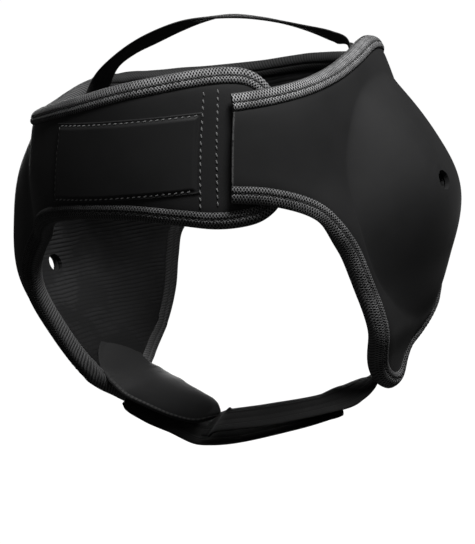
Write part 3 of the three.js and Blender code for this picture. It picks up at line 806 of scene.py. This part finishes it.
def binding_finish(name, colours):
    """Open knit tape: pale raised mesh over dark eyelets, in staggered rows, with a ribbed inside half;
    painted light and shade by side, height and depth.
    """
    finish = Finish(name, roughness=0.7, sheen_weight=0.1, sheen_roughness=0.4, specular_ior_level=0.3)
    colour = tuple(colours.binding)
    along, across = finish.cloth()
    wander = (finish.cloud(6, 2) - 0.5) * 0.4
    rise = (along + across * TAPE_MESH_SLOPE + wander).wave(TAPE_MESH)
    fall = (along - across * TAPE_MESH_SLOPE + wander).wave(TAPE_MESH)
    eyelet = rise * fall
    yarn = 1 - eyelet.step(0.2, 0.62)
    fuzz = finish.cloud(0.45, 2, 0.7)
    worn = finish.cloud(9, 2).step(0.3, 0.7)
    inside = across.step(TAPE_INSIDE - 0.5, TAPE_INSIDE + 0.5)
    rib = (along + across * TAPE_RIB_SLOPE + wander).wave(TAPE_RIB)
    # Painted shade: the yarn is painted darker towards the left side
    painted_left_shade = 1 - finish.place(0).step(*TAPE_LEFT_SHADE) * 0.85
    lit = yarn * (0.6 + worn * 0.4) * (0.55 + fuzz * 0.8) * (1.2 - painted_left_shade)
    # Painted light: the yarn is painted lighter higher up and darker lower down
    lit = lit * (finish.place(2).step(*TAPE_PAINTED_LIGHT_HEIGHT) * 0.5 + 0.5)
    # Painted shade: the inside ribs are painted darker towards the back, where they also lie flatter
    flat = 1 - finish.place(1).step(*TAPE_FLAT_SHADE_DEPTH) * 0.75
    open_knit = finish.blend(lit.least(1.0), tint(colour, 0.03), tint(colour, 7.0))
    # The inside half: a close ribbed knit, painted darker than the open knit as painted shade
    close_knit_shaded = finish.blend(rib * (0.6 + fuzz * 0.4) * flat, tint(colour, 0.05), tint(colour, 2.3))
    shade = finish.blend(inside, open_knit, close_knit_shaded)
    knit = finish.bump(yarn * (1 - inside) * (0.8 + fuzz * 0.3) + rib * inside * flat, 0.45, 0.9)
    return finish.paint(shade, 0.62 + (1 - yarn) * 0.3, knit)


def strap_finish(name, colour):
    """Woven elastic: fine cords along the strap, crossed by a close weave."""
    finish = Finish(name, roughness=0.75, sheen_weight=0.05, sheen_roughness=0.4, specular_ior_level=0.25)
    along, across = finish.cloth()
    colour = tuple(colour)
    cord = across.wave(STRAP_CORD)
    tick = (along + (across / STRAP_CORD).floor() * STRAP_STAGGER).wave(STRAP_TICK)
    fuzz = finish.cloud(0.5, 2, 0.7)
    weave = cord * 0.6 + tick * 0.4
    shade = finish.blend((weave * 0.7 + fuzz * 0.3).least(1.0), tint(colour, 0.6), tint(colour, 1.25))
    return finish.paint(shade, 0.7 + fuzz * 0.15, finish.bump(weave, 0.22, 0.8))


def thread_finish(name, colour):
    finish = Finish(name, roughness=0.6, sheen_weight=0.2, specular_ior_level=0.4)
    colour = tuple(colour)
    twist = finish.cloud(0.5, 2, 0.6)
    shade = finish.blend(twist, tint(colour, 0.75), tint(colour, 1.15))
    return finish.paint(shade, None, finish.bump(twist, 0.05, 0.6))


# Pieces


def near_edges(panel, place, share, raw_start):
    """Distances in millimetres to the top seam, the foot seam, and the nearest bound edge."""
    span = panel.span(place)
    top, foot = share * span, (1 - share) * span
    ends = panel.run(place) if not raw_start else np.full_like(place, 99.0)
    return top, foot, np.minimum(np.minimum(top, foot), ends)


def shell_piece(name, panel, sizes):
    raw_start = panel.side == "right"

    def shape(u, v):
        place, share = u * panel.last, 1 - v
        _, _, edge = near_edges(panel, place, share, raw_start)
        points = panel.points(place, share, 0)
        inward = panel.points(place, share, 1) - points
        depth = SHELL_PINCH * np.exp(-edge / SHELL_PINCH_REACH)
        depth = depth + ripple(points, *SHELL_RIPPLE) * smooth(0, SHELL_RIPPLE_MARGIN, edge)
        return points + inward * depth[:, None], panel.run(place), share * panel.span(place)

    piece = grid_piece(name, SHELL_GRID[panel.side], SHELL_GRID["down"], shape)
    if faces_towards(piece, (0, 0, 0)):
        turn_inside_out(piece)
    punch_ear_hole(piece, panel.side)
    thicken(piece, sizes.shell_wall * PER_METRE - SHELL_TRIM)
    return piece


def lining_piece(name, panel, sizes):
    cup = CUPS[panel.side]
    wall = sizes.lining_wall * PER_METRE
    weights = {}

    def shape(u, v):
        place, share = panel.start + u * (panel.last - panel.start), 1 - v
        _, foot, edge = near_edges(panel, place, share, False)
        outer = panel.points(place, share, 0)
        inward = panel.points(place, share, 1) - outer
        reach = cup_reach(cup, outer[:, 1], outer[:, 2])
        side = smooth(*EAR_RAMP, np.abs(outer[:, 0]))
        hollow = side * (1 - smooth(*HOLLOW_REACH, reach)) * smooth(*HOLLOW_MARGIN, foot)
        bulge = np.exp(-(((foot - ROLL_PLACE) / ROLL_BREADTH) ** 2))
        roll = side * (1 - smooth(*ROLL_REACH, reach)) * bulge
        pinch = LINING_PINCH * np.exp(-edge / LINING_PINCH_REACH)
        pad = wall * (1 - HOLLOW_SHARE * hollow) + ROLL_HEIGHT * roll - pinch
        pad += ripple(outer, *LINING_RIPPLE) * smooth(0, LINING_RIPPLE_MARGIN, edge)
        weights["pad"] = np.clip(pad / (wall + PAD_SPARE), PAD_LEAST, 1)
        return outer + inward * (LINING_TOP + pad)[:, None], panel.run(place), share * panel.span(place)

    piece = grid_piece(name, LINING_GRID[panel.side], LINING_GRID["down"], shape)
    group = piece.vertex_groups.new(name="pad")
    for index, weight in enumerate(weights["pad"]):
        group.add([index], float(weight), "REPLACE")
    if not faces_towards(piece, LINING_MIDDLE):
        turn_inside_out(piece)
    punch_ear_hole(piece, panel.side)
    thicken(piece, wall + PAD_SPARE, "pad")
    return piece


# The folded tape's section: out over the seam, proud of the cloth, and a share of the stack's depth inwards
SEAM_SECTION = table("out proud inner", [
    (-0.9, -0.30, 0),
    (-0.5, 0.35, 0),
    (0.8, 0.95, 0),
    (2.0, 0.85, 0.02),
    (2.7, 0.15, 0.03),
    (3.4, 0.80, 0.04),
    (4.8, 0.70, 0.09),
    (6.2, 0.30, 0.2),
    (7.1, 0.0, 0.34),
    (7.5, 0.0, 0.5),
    (7.1, 0.0, 0.68),
    (6.2, -0.30, 0.86),
    (4.8, -0.50, 0.97),
    (3.4, -0.45, 1),
    (2.7, 0.0, 1),
    (2.0, -0.4, 1),
    (0.6, -0.4, 1),
    (-0.7, -0.1, 1),
    (-0.9, 0.4, 1),
    (0.25, 1.2, 1),
    (0.3, -0.5, 0.5),
    (0.25, -1.3, 0),
])


# Slack that keeps a spot on a row from falling under it
SPOT_SLACK = 1e-6


def edge_run(panel, spots):
    """Seam points, wall normals and outward directions along a run of places."""
    place, share = np.array(spots).T
    turn, height = panel.seat(place, share)
    points = layer_point(panel.side, turn, height, 0)
    normals = wall_normal(turn, height)
    steps = np.linalg.norm(np.diff(points, axis=0), axis=1)
    length = np.concatenate([[0], np.cumsum(steps)])
    evenly = np.linspace(0, length[-1], max(int(length[-1] / TAPE_STEP), TAPE_LEAST_STEPS))
    points, normals = [np.stack([np.interp(evenly, length, values[:, axis]) for axis in range(3)], 1)
                       for values in (points, normals)]
    turn = np.interp(evenly, length, turn)
    along = unit(np.gradient(points, axis=0))
    normals = unit(normals - along * (normals * along).sum(1)[:, None])
    return {"points": points, "normals": normals, "off": unit(np.cross(normals, along)),
            "turn": turn, "length": evenly}


def line_reader(line, spot):
    """The index at or before each spot on a line, and a reader of the line's named columns there."""
    low = np.minimum(np.floor(spot + SPOT_SLACK).astype(int), len(line["length"]) - 2)
    part = spot - low

    def read(name):
        values = line[name]
        share = part[:, None] if values.ndim > 1 else part
        return values[low] * (1 - share) + values[low + 1] * share

    return low, read


def closed(v):
    """Shares round a closed section, with its last column on its first."""
    return np.where(v > 1 - SPOT_SLACK, 0, v)


def binding_piece(name, run, depth_of, width):
    count = len(SEAM_SECTION["out"])
    run = dict(run, deep=depth_of(run["turn"]))
    ring = {key: np.concatenate([column, column[:3]]) for key, column in SEAM_SECTION.items()}

    def shape(u, v):
        low, read = line_reader(run, u * (len(run["length"]) - 1))
        out, proud, inner = (between(ring[key], closed(v) * count) for key in ("out", "proud", "inner"))
        waves = np.sin(run["length"][low] * 2 * math.pi / PUCKER_PITCH)
        puckered = 1 + PUCKER_SHARE * waves * (np.abs(out - STITCH_LINE) < PUCKER_BREADTH)
        points = (read("points") + unit(read("off")) * (out * width / SECTION_WIDTH)[:, None]
                  + unit(read("normals")) * (proud * puckered - read("deep") * inner)[:, None])
        return points, read("length"), v * (2 * width + TAPE_FOLD)

    return grid_piece(name, len(run["length"]) - 1, TAPE_RING, shape, tube=True)


def ribbon_lines(rows, steps):
    """A ribbon's middle line in even steps, with its run, its way across, its face and its breadth."""
    last = len(rows["x"]) - 1.0
    fine = np.linspace(0, last, RIBBON_PLACES)

    def middle(place):
        return np.stack([between(rows["x"], place) * RING_HALF_WIDTH,
                         between(rows["y"], place) * RING_FRONT,
                         between(rows["z"], place) * EAR_DROP], -1)

    track = middle(fine)
    length = np.concatenate([[0], np.cumsum(np.linalg.norm(np.diff(track, axis=0), axis=1))])
    evenly = np.linspace(0, length[-1], steps + 1)
    place = np.interp(evenly, length, fine)
    points = middle(place)
    run = unit(np.gradient(points, axis=0))
    lean = np.radians(between(rows["lean"], place))
    across = np.stack([np.zeros_like(lean), np.sin(lean), np.cos(lean)], -1)
    across = unit(across - run * (across * run).sum(1)[:, None])
    return {"points": points, "run": run, "across": across, "face": np.cross(run, across),
            "wide": between(rows["wide"], place), "length": evenly}


def ribbon_piece(name, rows, width, wall, sections, steps, rounding=2.6, crown=0.0, round_end=None,
                 thin_start=None):
    """A strap or pad with a rounded section, swept along its middle line."""
    line = ribbon_lines(rows, steps)

    def shape(u, v):
        _, read = line_reader(line, u * steps)
        angle = closed(v) * 2 * math.pi
        cosine, sine = np.cos(angle), np.sin(angle)
        half = read("wide") * width / 2
        if round_end:
            left = line["length"][-1] - read("length")
            half = half * np.sqrt(np.clip(1 - np.clip(1 - left / round_end, 0, 1) ** 2, END_LEAST, 1))
        wide = np.sign(cosine) * np.abs(cosine) ** (2 / (rounding * SIDE_ROUNDING)) * half
        thin = wall / 2 * (1 if not round_end else np.clip(half / (width * END_TAPER), END_THIN, 1))
        if thin_start:
            begun = smooth(0, thin_start, read("length"))
            half = half * (BASE_BREADTH + (1 - BASE_BREADTH) * np.sqrt(begun))
            thin = thin * (BASE_THICKNESS + (1 - BASE_THICKNESS) * begun)
        thick = np.sign(sine) * np.abs(sine) ** (2 / rounding) * thin
        thick = thick + np.where(sine > 0, crown * (1 - np.clip(np.abs(wide) / half, 0, 1) ** 2), 0)
        points = read("points") + unit(read("across")) * wide[:, None]
        points = points + unit(read("face")) * thick[:, None]
        return points, read("length") + PAST_RAW_END, v * 2 * width

    return grid_piece(name, steps, sections, shape, tube=True)


def plate_points(side, rows, u, v, depth):
    top, foot = ({key: values[index] for key, values in rows.items()} for index in (0, 1))
    mixed = {key: top[key] + (foot[key] - top[key]) * v for key in rows}
    turn = mixed["left_turn"] + (mixed["right_turn"] - mixed["left_turn"]) * u
    rise = mixed["left_rise"] + (mixed["right_rise"] - mixed["left_rise"]) * u
    return layer_point(side, turn, rise * BAND_RISE, depth)


def plate_piece(name, side, rows, face, wall, across, down, press):
    """A thin plate on the wall with a stitched, pressed margin and a raised field inside it."""

    def shape(u, v):
        share = 1 - v
        flat = plate_points(side, rows, u, share, 0)
        wide, tall = (np.linalg.norm(plate_points(side, rows, *end, 0) - plate_points(side, rows, *start, 0))
                      for start, end in (((0.0, 0.5), (1.0, 0.5)), ((0.5, 0.0), (0.5, 1.0))))
        edge = np.minimum(np.minimum(u, 1 - u) * wide, np.minimum(share, 1 - share) * tall)
        groove = GROOVE_DEPTH * np.exp(-(((edge - GROOVE_PLACE) / GROOVE_BREADTH) ** 2))
        raised = press * smooth(*FIELD_RAMP, edge) - groove
        depth = face + CUT_EDGE_DROP * (1 - smooth(0, CUT_EDGE_REACH, edge)) - raised
        inward = plate_points(side, rows, u, share, 1) - flat
        return flat + inward * depth[:, None], u * wide + PAST_RAW_END, share * tall

    piece = grid_piece(name, across, down, shape)
    if faces_towards(piece, (0, 0, 0)):
        turn_inside_out(piece)
    thicken(piece, wall)
    return piece


def stitch_rows(name, runs, pitch, finish):
    """Rows of stitches: each is a copy of one small bead laid along its seam and sunk in it by half."""
    clear_selection()
    bpy.ops.mesh.primitive_uv_sphere_add(segments=6, ring_count=5, radius=1)
    bead = bpy.context.active_object
    shape = np.array([vertex.co[:] for vertex in bead.data.vertices])
    faces = [list(polygon.vertices) for polygon in bead.data.polygons]
    bpy.ops.object.delete()
    blocks, polygons = [], []
    dice = random.Random(STITCH_SEED)
    for points, normals, stitch in runs:
        length = np.concatenate([[0], np.cumsum(np.linalg.norm(np.diff(points, axis=0), axis=1))])
        step = pitch * stitch["pitch"]
        for spot in np.arange(step / 2, length[-1] - step / 4, step):
            spot += dice.uniform(-STITCH_DRIFT, STITCH_DRIFT)
            reads = ((spot, points), (spot + STITCH_AHEAD, points), (spot, normals))
            here, ahead, up = (np.array([np.interp(where, length, values[:, axis]) for axis in range(3)])
                               for where, values in reads)
            forward, up = unit(ahead - here), unit(up)
            sideways = unit(np.cross(up, forward))
            angle = math.radians(stitch["slant"] + dice.uniform(-STITCH_SWAY, STITCH_SWAY))
            way = forward * math.cos(angle) + sideways * math.sin(angle)
            thick = stitch["thick"]
            polygons += [[len(blocks) * len(shape) + index for index in face] for face in faces]
            blocks.append(here + shape[:, :1] * way * stitch["long"] / 2
                          + shape[:, 1:2] * np.cross(up, way) * thick + shape[:, 2:] * up * thick)
    mesh = bpy.data.meshes.new(name)
    mesh.from_pydata((np.concatenate(blocks) / PER_METRE).tolist(), [], polygons)
    mesh.update()
    piece = bpy.data.objects.new(name, mesh)
    bpy.context.collection.objects.link(piece)
    soften(piece, STITCH_ANGLE)
    return dress(piece, finish, "binding")


def panels():
    """The left cloth, the right cloth, and the right lining, which starts behind the raw end."""
    left, right = Panel("left", LEFT_ROWS), Panel("right", RIGHT_ROWS)
    starts = np.linspace(0, right.last, LINING_START_STEPS)
    turns, _ = right.seat(starts, np.ones_like(starts))
    lining_start = starts[np.argmax(turns > LINING_START_TURN)]
    return left, right, Panel("right", RIGHT_ROWS, lining_start)


def seam_runs():
    """The seams that the bindings follow: the left one goes all round, the right ones follow top and foot."""
    left, right, _ = panels()
    fine = np.linspace(0, left.last, SEAM_STEPS["left"])
    end = np.linspace(0, 1, SEAM_STEPS["end"])[1:-1]
    round_left = [(place, 0) for place in fine[::-1]] + [(0, share) for share in end]
    round_left += [(place, 1) for place in fine]
    side = np.linspace(0, right.last, SEAM_STEPS["right"])
    return (edge_run(left, round_left), edge_run(right, [(place, 0) for place in side]),
            edge_run(right, [(place, 1) for place in side[::-1]]))


def right_depth(turn):
    """What the right tapes fold over: the shell alone at the raw end, and the whole stack behind it."""
    low, high = (LIFT_FULL_TURN + past for past in RAW_END_RAMP)
    return RAW_END_WALL + (STACK - RAW_END_WALL) * smooth(low, high, turn)


def full_depth(turn):
    return np.full_like(turn, STACK)


# Settings


def length_property(name, description, default, low, high):
    """A length given in millimetres and held in metres."""
    default, low, high = (size / PER_METRE for size in (default, low, high))
    return bpy.props.FloatProperty(name=name, description=description, default=default, min=low, max=high,
                                   unit="LENGTH", subtype="DISTANCE")


class HeadgearSizes(bpy.types.PropertyGroup):
    """Sizes that a user would change."""

    shell_wall: length_property("Shell wall", "Thickness of the outer cloth", SHELL_WALL, 1, 4)
    lining_wall: length_property("Lining wall", "Thickness of the padded lining", LINING_WALL, 3, 6)
    binding_width: length_property("Binding width", "Width of the folded tape's face", BINDING_WIDTH, 5, 9)
    stitch_pitch: length_property("Stitch pitch", "Distance from stitch to stitch", STITCH_PITCH, 2, 6)


def colour_property(name, description, default):
    return bpy.props.FloatVectorProperty(name=name, description=description, default=default, min=0, max=1,
                                         size=3, subtype="COLOR")


class HeadgearColours(bpy.types.PropertyGroup):
    """Colours of the cloths and threads."""

    shell: colour_property("Shell", "Smooth outer cloth", (0.017, 0.017, 0.0175))
    raw_edge: colour_property("Raw edge", "Cut end of the outer cloth", (0.13, 0.13, 0.13))
    lining: colour_property("Lining", "Ribbed inner cloth", (0.031, 0.031, 0.032))
    binding: colour_property("Binding", "Knitted tape", (0.075, 0.075, 0.076))
    strap: colour_property("Strap", "Woven elastic", (0.009, 0.009, 0.009))
    # Painted light: paler than the chin straps' elastic, so that the crown strap's underside, which the lamps
    # leave dark, reads lit
    crown: colour_property("Crown strap", "Woven elastic over the crown", (0.03, 0.03, 0.03))
    seam_thread: colour_property("Seam thread", "Stitches of the bindings", (0.035, 0.035, 0.035))
    patch_thread: colour_property("Patch thread", "Stitches of the patch and tab", (0.24, 0.24, 0.24))


def settings():
    scene = bpy.context.scene
    return scene.headgear_sizes, scene.headgear_colours


def finished(name, make, colours):
    """A finish that is made once and shared."""
    return bpy.data.materials.get(name) or make(name, colours)


# Operators


class HEADGEAR_OT_shells(bpy.types.Operator):
    """Outer cloth of both sides, each with its ear hole"""

    bl_idname = "headgear.shells"
    bl_label = "Shells"

    def execute(self, context):
        sizes, colours = settings()
        left, right, _ = panels()
        finish = finished("shell_cloth", shell_finish, colours)
        for name, panel, node in (("left_cover", left, "left_shell"),
                                  ("right_cover", right, "right_shell")):
            piece = shell_piece(name, panel, sizes)
            soften(piece)
            dress(piece, finish, "shell", node)
        return {"FINISHED"}


class HEADGEAR_OT_linings(bpy.types.Operator):
    """Ribbed padded linings with a hollow for each ear"""

    bl_idname = "headgear.linings"
    bl_label = "Linings"

    def execute(self, context):
        sizes, colours = settings()
        left, _, right = panels()
        finish = finished("lining_cloth", lining_finish, colours)
        for name, panel, node in (("left_pad", left, "left_lining"),
                                  ("right_pad", right, "right_lining")):
            piece = lining_piece(name, panel, sizes)
            soften(piece)
            dress(piece, finish, "lining", node)
        return {"FINISHED"}


class HEADGEAR_OT_bindings(bpy.types.Operator):
    """Knitted tapes folded over the seams"""

    bl_idname = "headgear.bindings"
    bl_label = "Bindings"

    def execute(self, context):
        sizes, colours = settings()
        finish = finished("binding_knit", binding_finish, colours)
        width = sizes.binding_width * PER_METRE
        tapes = (("left_tape", full_depth, "left_binding"),
                 ("right_top_tape", right_depth, "right_top_binding"),
                 ("right_foot_tape", right_depth, "right_foot_binding"))
        for run, (name, depth, node) in zip(seam_runs(), tapes):
            piece = binding_piece(name, run, depth, width)
            soften(piece, TAPE_ANGLE)
            dress(piece, finish, "binding", node)
        return {"FINISHED"}


class HEADGEAR_OT_brow(bpy.types.Operator):
    """The bare sewn patch on the forehead and the hook pad inside the closure"""

    bl_idname = "headgear.brow"
    bl_label = "Brow patch and hook pad"

    def execute(self, context):
        _, colours = settings()
        patch = plate_piece("patch", "left", PATCH_ROWS, **PATCH_PLATE)
        soften(patch)
        dress(patch, finished("shell_cloth", shell_finish, colours), "shell", "brow_patch")
        hook = plate_piece("hook_pad", "left", HOOK_ROWS, **HOOK_PLATE)
        soften(hook)
        dress(hook, finished("strap_elastic", strap_finish, colours.strap), "strap", "brow_hook_pad")
        return {"FINISHED"}


class HEADGEAR_OT_crown_strap(bpy.types.Operator):
    """Flat elastic over the crown"""

    bl_idname = "headgear.crown_strap"
    bl_label = "Crown strap"

    def execute(self, context):
        _, colours = settings()
        piece = ribbon_piece("crown_elastic", CROWN_ROWS, **CROWN_RIBBON)
        soften(piece, STRAP_ANGLE)
        # The crown strap's paler colour is painted light on its underside
        dress(piece, finished("crown_weave", strap_finish, colours.crown), "strap", "crown_strap")
        return {"FINISHED"}


class HEADGEAR_OT_chin_straps(bpy.types.Operator):
    """The two halves of the chin strap, the outer one with a pointed free end"""

    bl_idname = "headgear.chin_straps"
    bl_label = "Chin straps"

    def execute(self, context):
        _, colours = settings()
        finish = finished("strap_elastic", strap_finish, colours.strap)
        for name, rows, node in (("outer_chin_elastic", CHIN_LEFT_ROWS, "chin_strap_left"),
                                 ("inner_chin_elastic", CHIN_RIGHT_ROWS, "chin_strap_right")):
            piece = ribbon_piece(name, rows, **CHIN_RIBBON)
            soften(piece, STRAP_ANGLE)
            dress(piece, finish, "strap", node)
        return {"FINISHED"}


class HEADGEAR_OT_chin_pad(bpy.types.Operator):
    """The padded tongue over the chin straps"""

    bl_idname = "headgear.chin_pad"
    bl_label = "Chin pad"

    def execute(self, context):
        _, colours = settings()
        piece = ribbon_piece("chin_tongue", CHIN_PAD_ROWS, **TONGUE_RIBBON)
        soften(piece, STRAP_ANGLE)
        dress(piece, finished("tongue_cloth", tongue_finish, colours), "lining", "chin_pad")
        return {"FINISHED"}


class HEADGEAR_OT_stitches(bpy.types.Operator):
    """Rows of stitches on the bindings, the patch and the tab"""

    bl_idname = "headgear.stitches"
    bl_label = "Stitches"

    def execute(self, context):
        sizes, colours = settings()
        pitch = sizes.stitch_pitch * PER_METRE
        rows = []
        for run in seam_runs():
            points = run["points"] + run["off"] * STITCH_LINE + run["normals"] * SEAM_STITCH_RISE
            rows.append((points[3:-3], run["normals"][3:-3], SEAM_STITCH))
        finish = finished("seam_thread", thread_finish, colours.seam_thread)
        stitch_rows("seam_stitches", rows, pitch, finish)
        rows = []
        share = np.linspace(0, 1, STITCH_PLACES)
        for (top_turn, top_rise), (foot_turn, foot_rise) in STITCH_COLUMNS:
            turn, rise = top_turn + (foot_turn - top_turn) * share, top_rise + (foot_rise - top_rise) * share
            points = layer_point("left", turn, rise, COLUMN_STITCH_DEPTH)
            rows.append((points, wall_normal(turn, rise), COLUMN_STITCH))
        for u0, v0, u1, v1 in PATCH_LINES:
            u, v = u0 + (u1 - u0) * share, v0 + (v1 - v0) * share
            points = plate_points("left", PATCH_ROWS, u, v, PATCH_STITCH_DEPTH)
            normals = unit(points - plate_points("left", PATCH_ROWS, u, v, PATCH_INNER_DEPTH))
            rows.append((points, normals, PATCH_STITCH))
        finish = finished("patch_thread", thread_finish, colours.patch_thread)
        stitch_rows("patch_stitches", rows, pitch, finish)
        return {"FINISHED"}


# Camera: angles in degrees, distance in metres, and where the origin falls in the photograph's frame
CAMERA = {"turn": 29.0, "rise": 8.5, "roll": 12.5, "away": 1.1}
PIXELS_PER_METRE = 1900.0
ORIGIN_PIXEL = (219.0, 154.0)
PHOTO_FRAME = (475, 544)
SENSOR_WIDTH = 36
CLIP_RANGE = (0.05, 50)
# Floor and backdrop, in metres, and the near-white paper that covers them
FLOOR_RADIUS, FLOOR_HEIGHT, BACKDROP_RADIUS = 9, -0.45, 9.5
PAPER_WHITES = ((0.99, 0.99, 0.99), (1.0, 1.0, 1.0))
PAPER_CLOUD = 900
PAPER_BASE = (0.02, 0.02, 0.02, 1)
WORLD_STRENGTH = 0.03
# Soft lights: where each stands and what it faces, in metres, its breadth and its power in watts
STUDIO_LIGHTS = (
    ("key", (1.0, -0.42, 1.36), (0.02, 0, 0), 0.6, 26),
    ("side", (0.75, 0.5, 1.35), (0, 0, 0), 0.6, 8),
    ("front", (0.3, -1.8, 0.9), (0, 0, 0), 1.0, 1.0),
    ("back", (-0.95, 1.6, 0.2), (0, 0, -0.03), 1.0, 15),
)


def area_light(name, place, aim, size, power):
    light = bpy.data.lights.new(name, "AREA")
    light.shape, light.size, light.energy = "DISK", size, power
    lamp = bpy.data.objects.new(name, light)
    bpy.context.collection.objects.link(lamp)
    back = np.array(place, float) - np.array(aim, float)
    lamp.matrix_world = look_along(unit(back), np.array(place, float))


def look_along(back, place, roll=0.0):
    """Placing for a camera or light that looks against back, turned by roll degrees."""
    right = unit(np.cross((0.0, 0.0, 1.0), back))
    up = np.cross(back, right)
    cosine, sine = math.cos(math.radians(roll)), math.sin(math.radians(roll))
    right, up = cosine * right - sine * up, sine * right + cosine * up
    rows = [[right[i], up[i], back[i], place[i]] for i in range(3)] + [[0, 0, 0, 1]]
    return Matrix(rows)


class HEADGEAR_OT_stage(bpy.types.Operator):
    """Pale floor, soft studio light and the camera"""

    bl_idname = "headgear.stage"
    bl_label = "Stage"

    def execute(self, context):
        turn, rise = math.radians(CAMERA["turn"]), math.radians(CAMERA["rise"])
        back = np.array([math.sin(turn) * math.cos(rise), -math.cos(turn) * math.cos(rise), math.sin(rise)])
        frame_of = np.array(look_along(back, (0, 0, 0), CAMERA["roll"]))
        across, down = ((at - size / 2) / PIXELS_PER_METRE for at, size in zip(ORIGIN_PIXEL, PHOTO_FRAME))
        place = -across * frame_of[:3, 0] + down * frame_of[:3, 1] + back * CAMERA["away"]
        lens = bpy.data.cameras.new("view")
        camera = bpy.data.objects.new("view", lens)
        context.collection.objects.link(camera)
        camera.matrix_world = look_along(back, place, CAMERA["roll"])
        lens.sensor_width = SENSOR_WIDTH
        lens.lens = PIXELS_PER_METRE * CAMERA["away"] * SENSOR_WIDTH / PHOTO_FRAME[1]
        lens.clip_start, lens.clip_end = CLIP_RANGE
        context.scene.camera = camera

        clear_selection()
        bpy.ops.mesh.primitive_circle_add(vertices=96, radius=FLOOR_RADIUS, fill_type="NGON",
                                          location=(0, 0, FLOOR_HEIGHT))
        floor = context.active_object
        floor.name = "floor"
        clear_selection()
        bpy.ops.mesh.primitive_uv_sphere_add(segments=48, ring_count=24, radius=BACKDROP_RADIUS)
        backdrop = context.active_object
        backdrop.name = "backdrop"
        paper = Finish("paper", roughness=1.0, specular_ior_level=0.0, emission_strength=1.02)
        paper.paint(glow=paper.blend(paper.cloud(PAPER_CLOUD), *PAPER_WHITES))
        paper.shader.inputs["Base Color"].default_value = PAPER_BASE
        for piece in (floor, backdrop):
            piece.data.materials.append(paper.material)
            piece.visible_diffuse = piece.visible_glossy = piece.visible_shadow = False

        world = bpy.data.worlds.new("studio")
        context.scene.world = world
        world.use_nodes = True
        background = world.node_tree.nodes["Background"]
        background.inputs["Color"].default_value = (1, 1, 1, 1)
        background.inputs["Strength"].default_value = WORLD_STRENGTH
        context.scene.view_settings.view_transform = "Standard"
        for light in STUDIO_LIGHTS:
            area_light(*light)
        return {"FINISHED"}


class HEADGEAR_PT_panel(bpy.types.Panel):
    """The headgear's pieces, sizes and colours"""

    bl_idname = "HEADGEAR_PT_panel"
    bl_label = "Grappling headgear"
    bl_space_type = "VIEW_3D"
    bl_region_type = "UI"
    bl_category = "Headgear"

    def draw(self, context):
        column = self.layout.column(align=True)
        for step in STEPS:
            column.operator(step.bl_idname)
        sizes, colours = settings()
        for group in (sizes, colours):
            box = self.layout.box()
            for name in type(group).__annotations__:
                box.prop(group, name)


STEPS = (HEADGEAR_OT_stage, HEADGEAR_OT_shells, HEADGEAR_OT_linings, HEADGEAR_OT_bindings, HEADGEAR_OT_brow,
         HEADGEAR_OT_crown_strap, HEADGEAR_OT_chin_straps, HEADGEAR_OT_chin_pad, HEADGEAR_OT_stitches)
CLASSES = (HeadgearSizes, HeadgearColours, *STEPS, HEADGEAR_PT_panel)


def register():
    for item in CLASSES:
        bpy.utils.register_class(item)
    bpy.types.Scene.headgear_sizes = bpy.props.PointerProperty(type=HeadgearSizes)
    bpy.types.Scene.headgear_colours = bpy.props.PointerProperty(type=HeadgearColours)


def unregister():
    del bpy.types.Scene.headgear_colours
    del bpy.types.Scene.headgear_sizes
    for item in reversed(CLASSES):
        bpy.utils.unregister_class(item)


def main():
    register()
    bpy.ops.headgear.stage()
    bpy.ops.headgear.shells()
    bpy.ops.headgear.linings()
    bpy.ops.headgear.bindings()
    bpy.ops.headgear.brow()
    bpy.ops.headgear.crown_strap()
    bpy.ops.headgear.chin_straps()
    bpy.ops.headgear.chin_pad()
    bpy.ops.headgear.stitches()


if __name__ == "__main__":
    main()
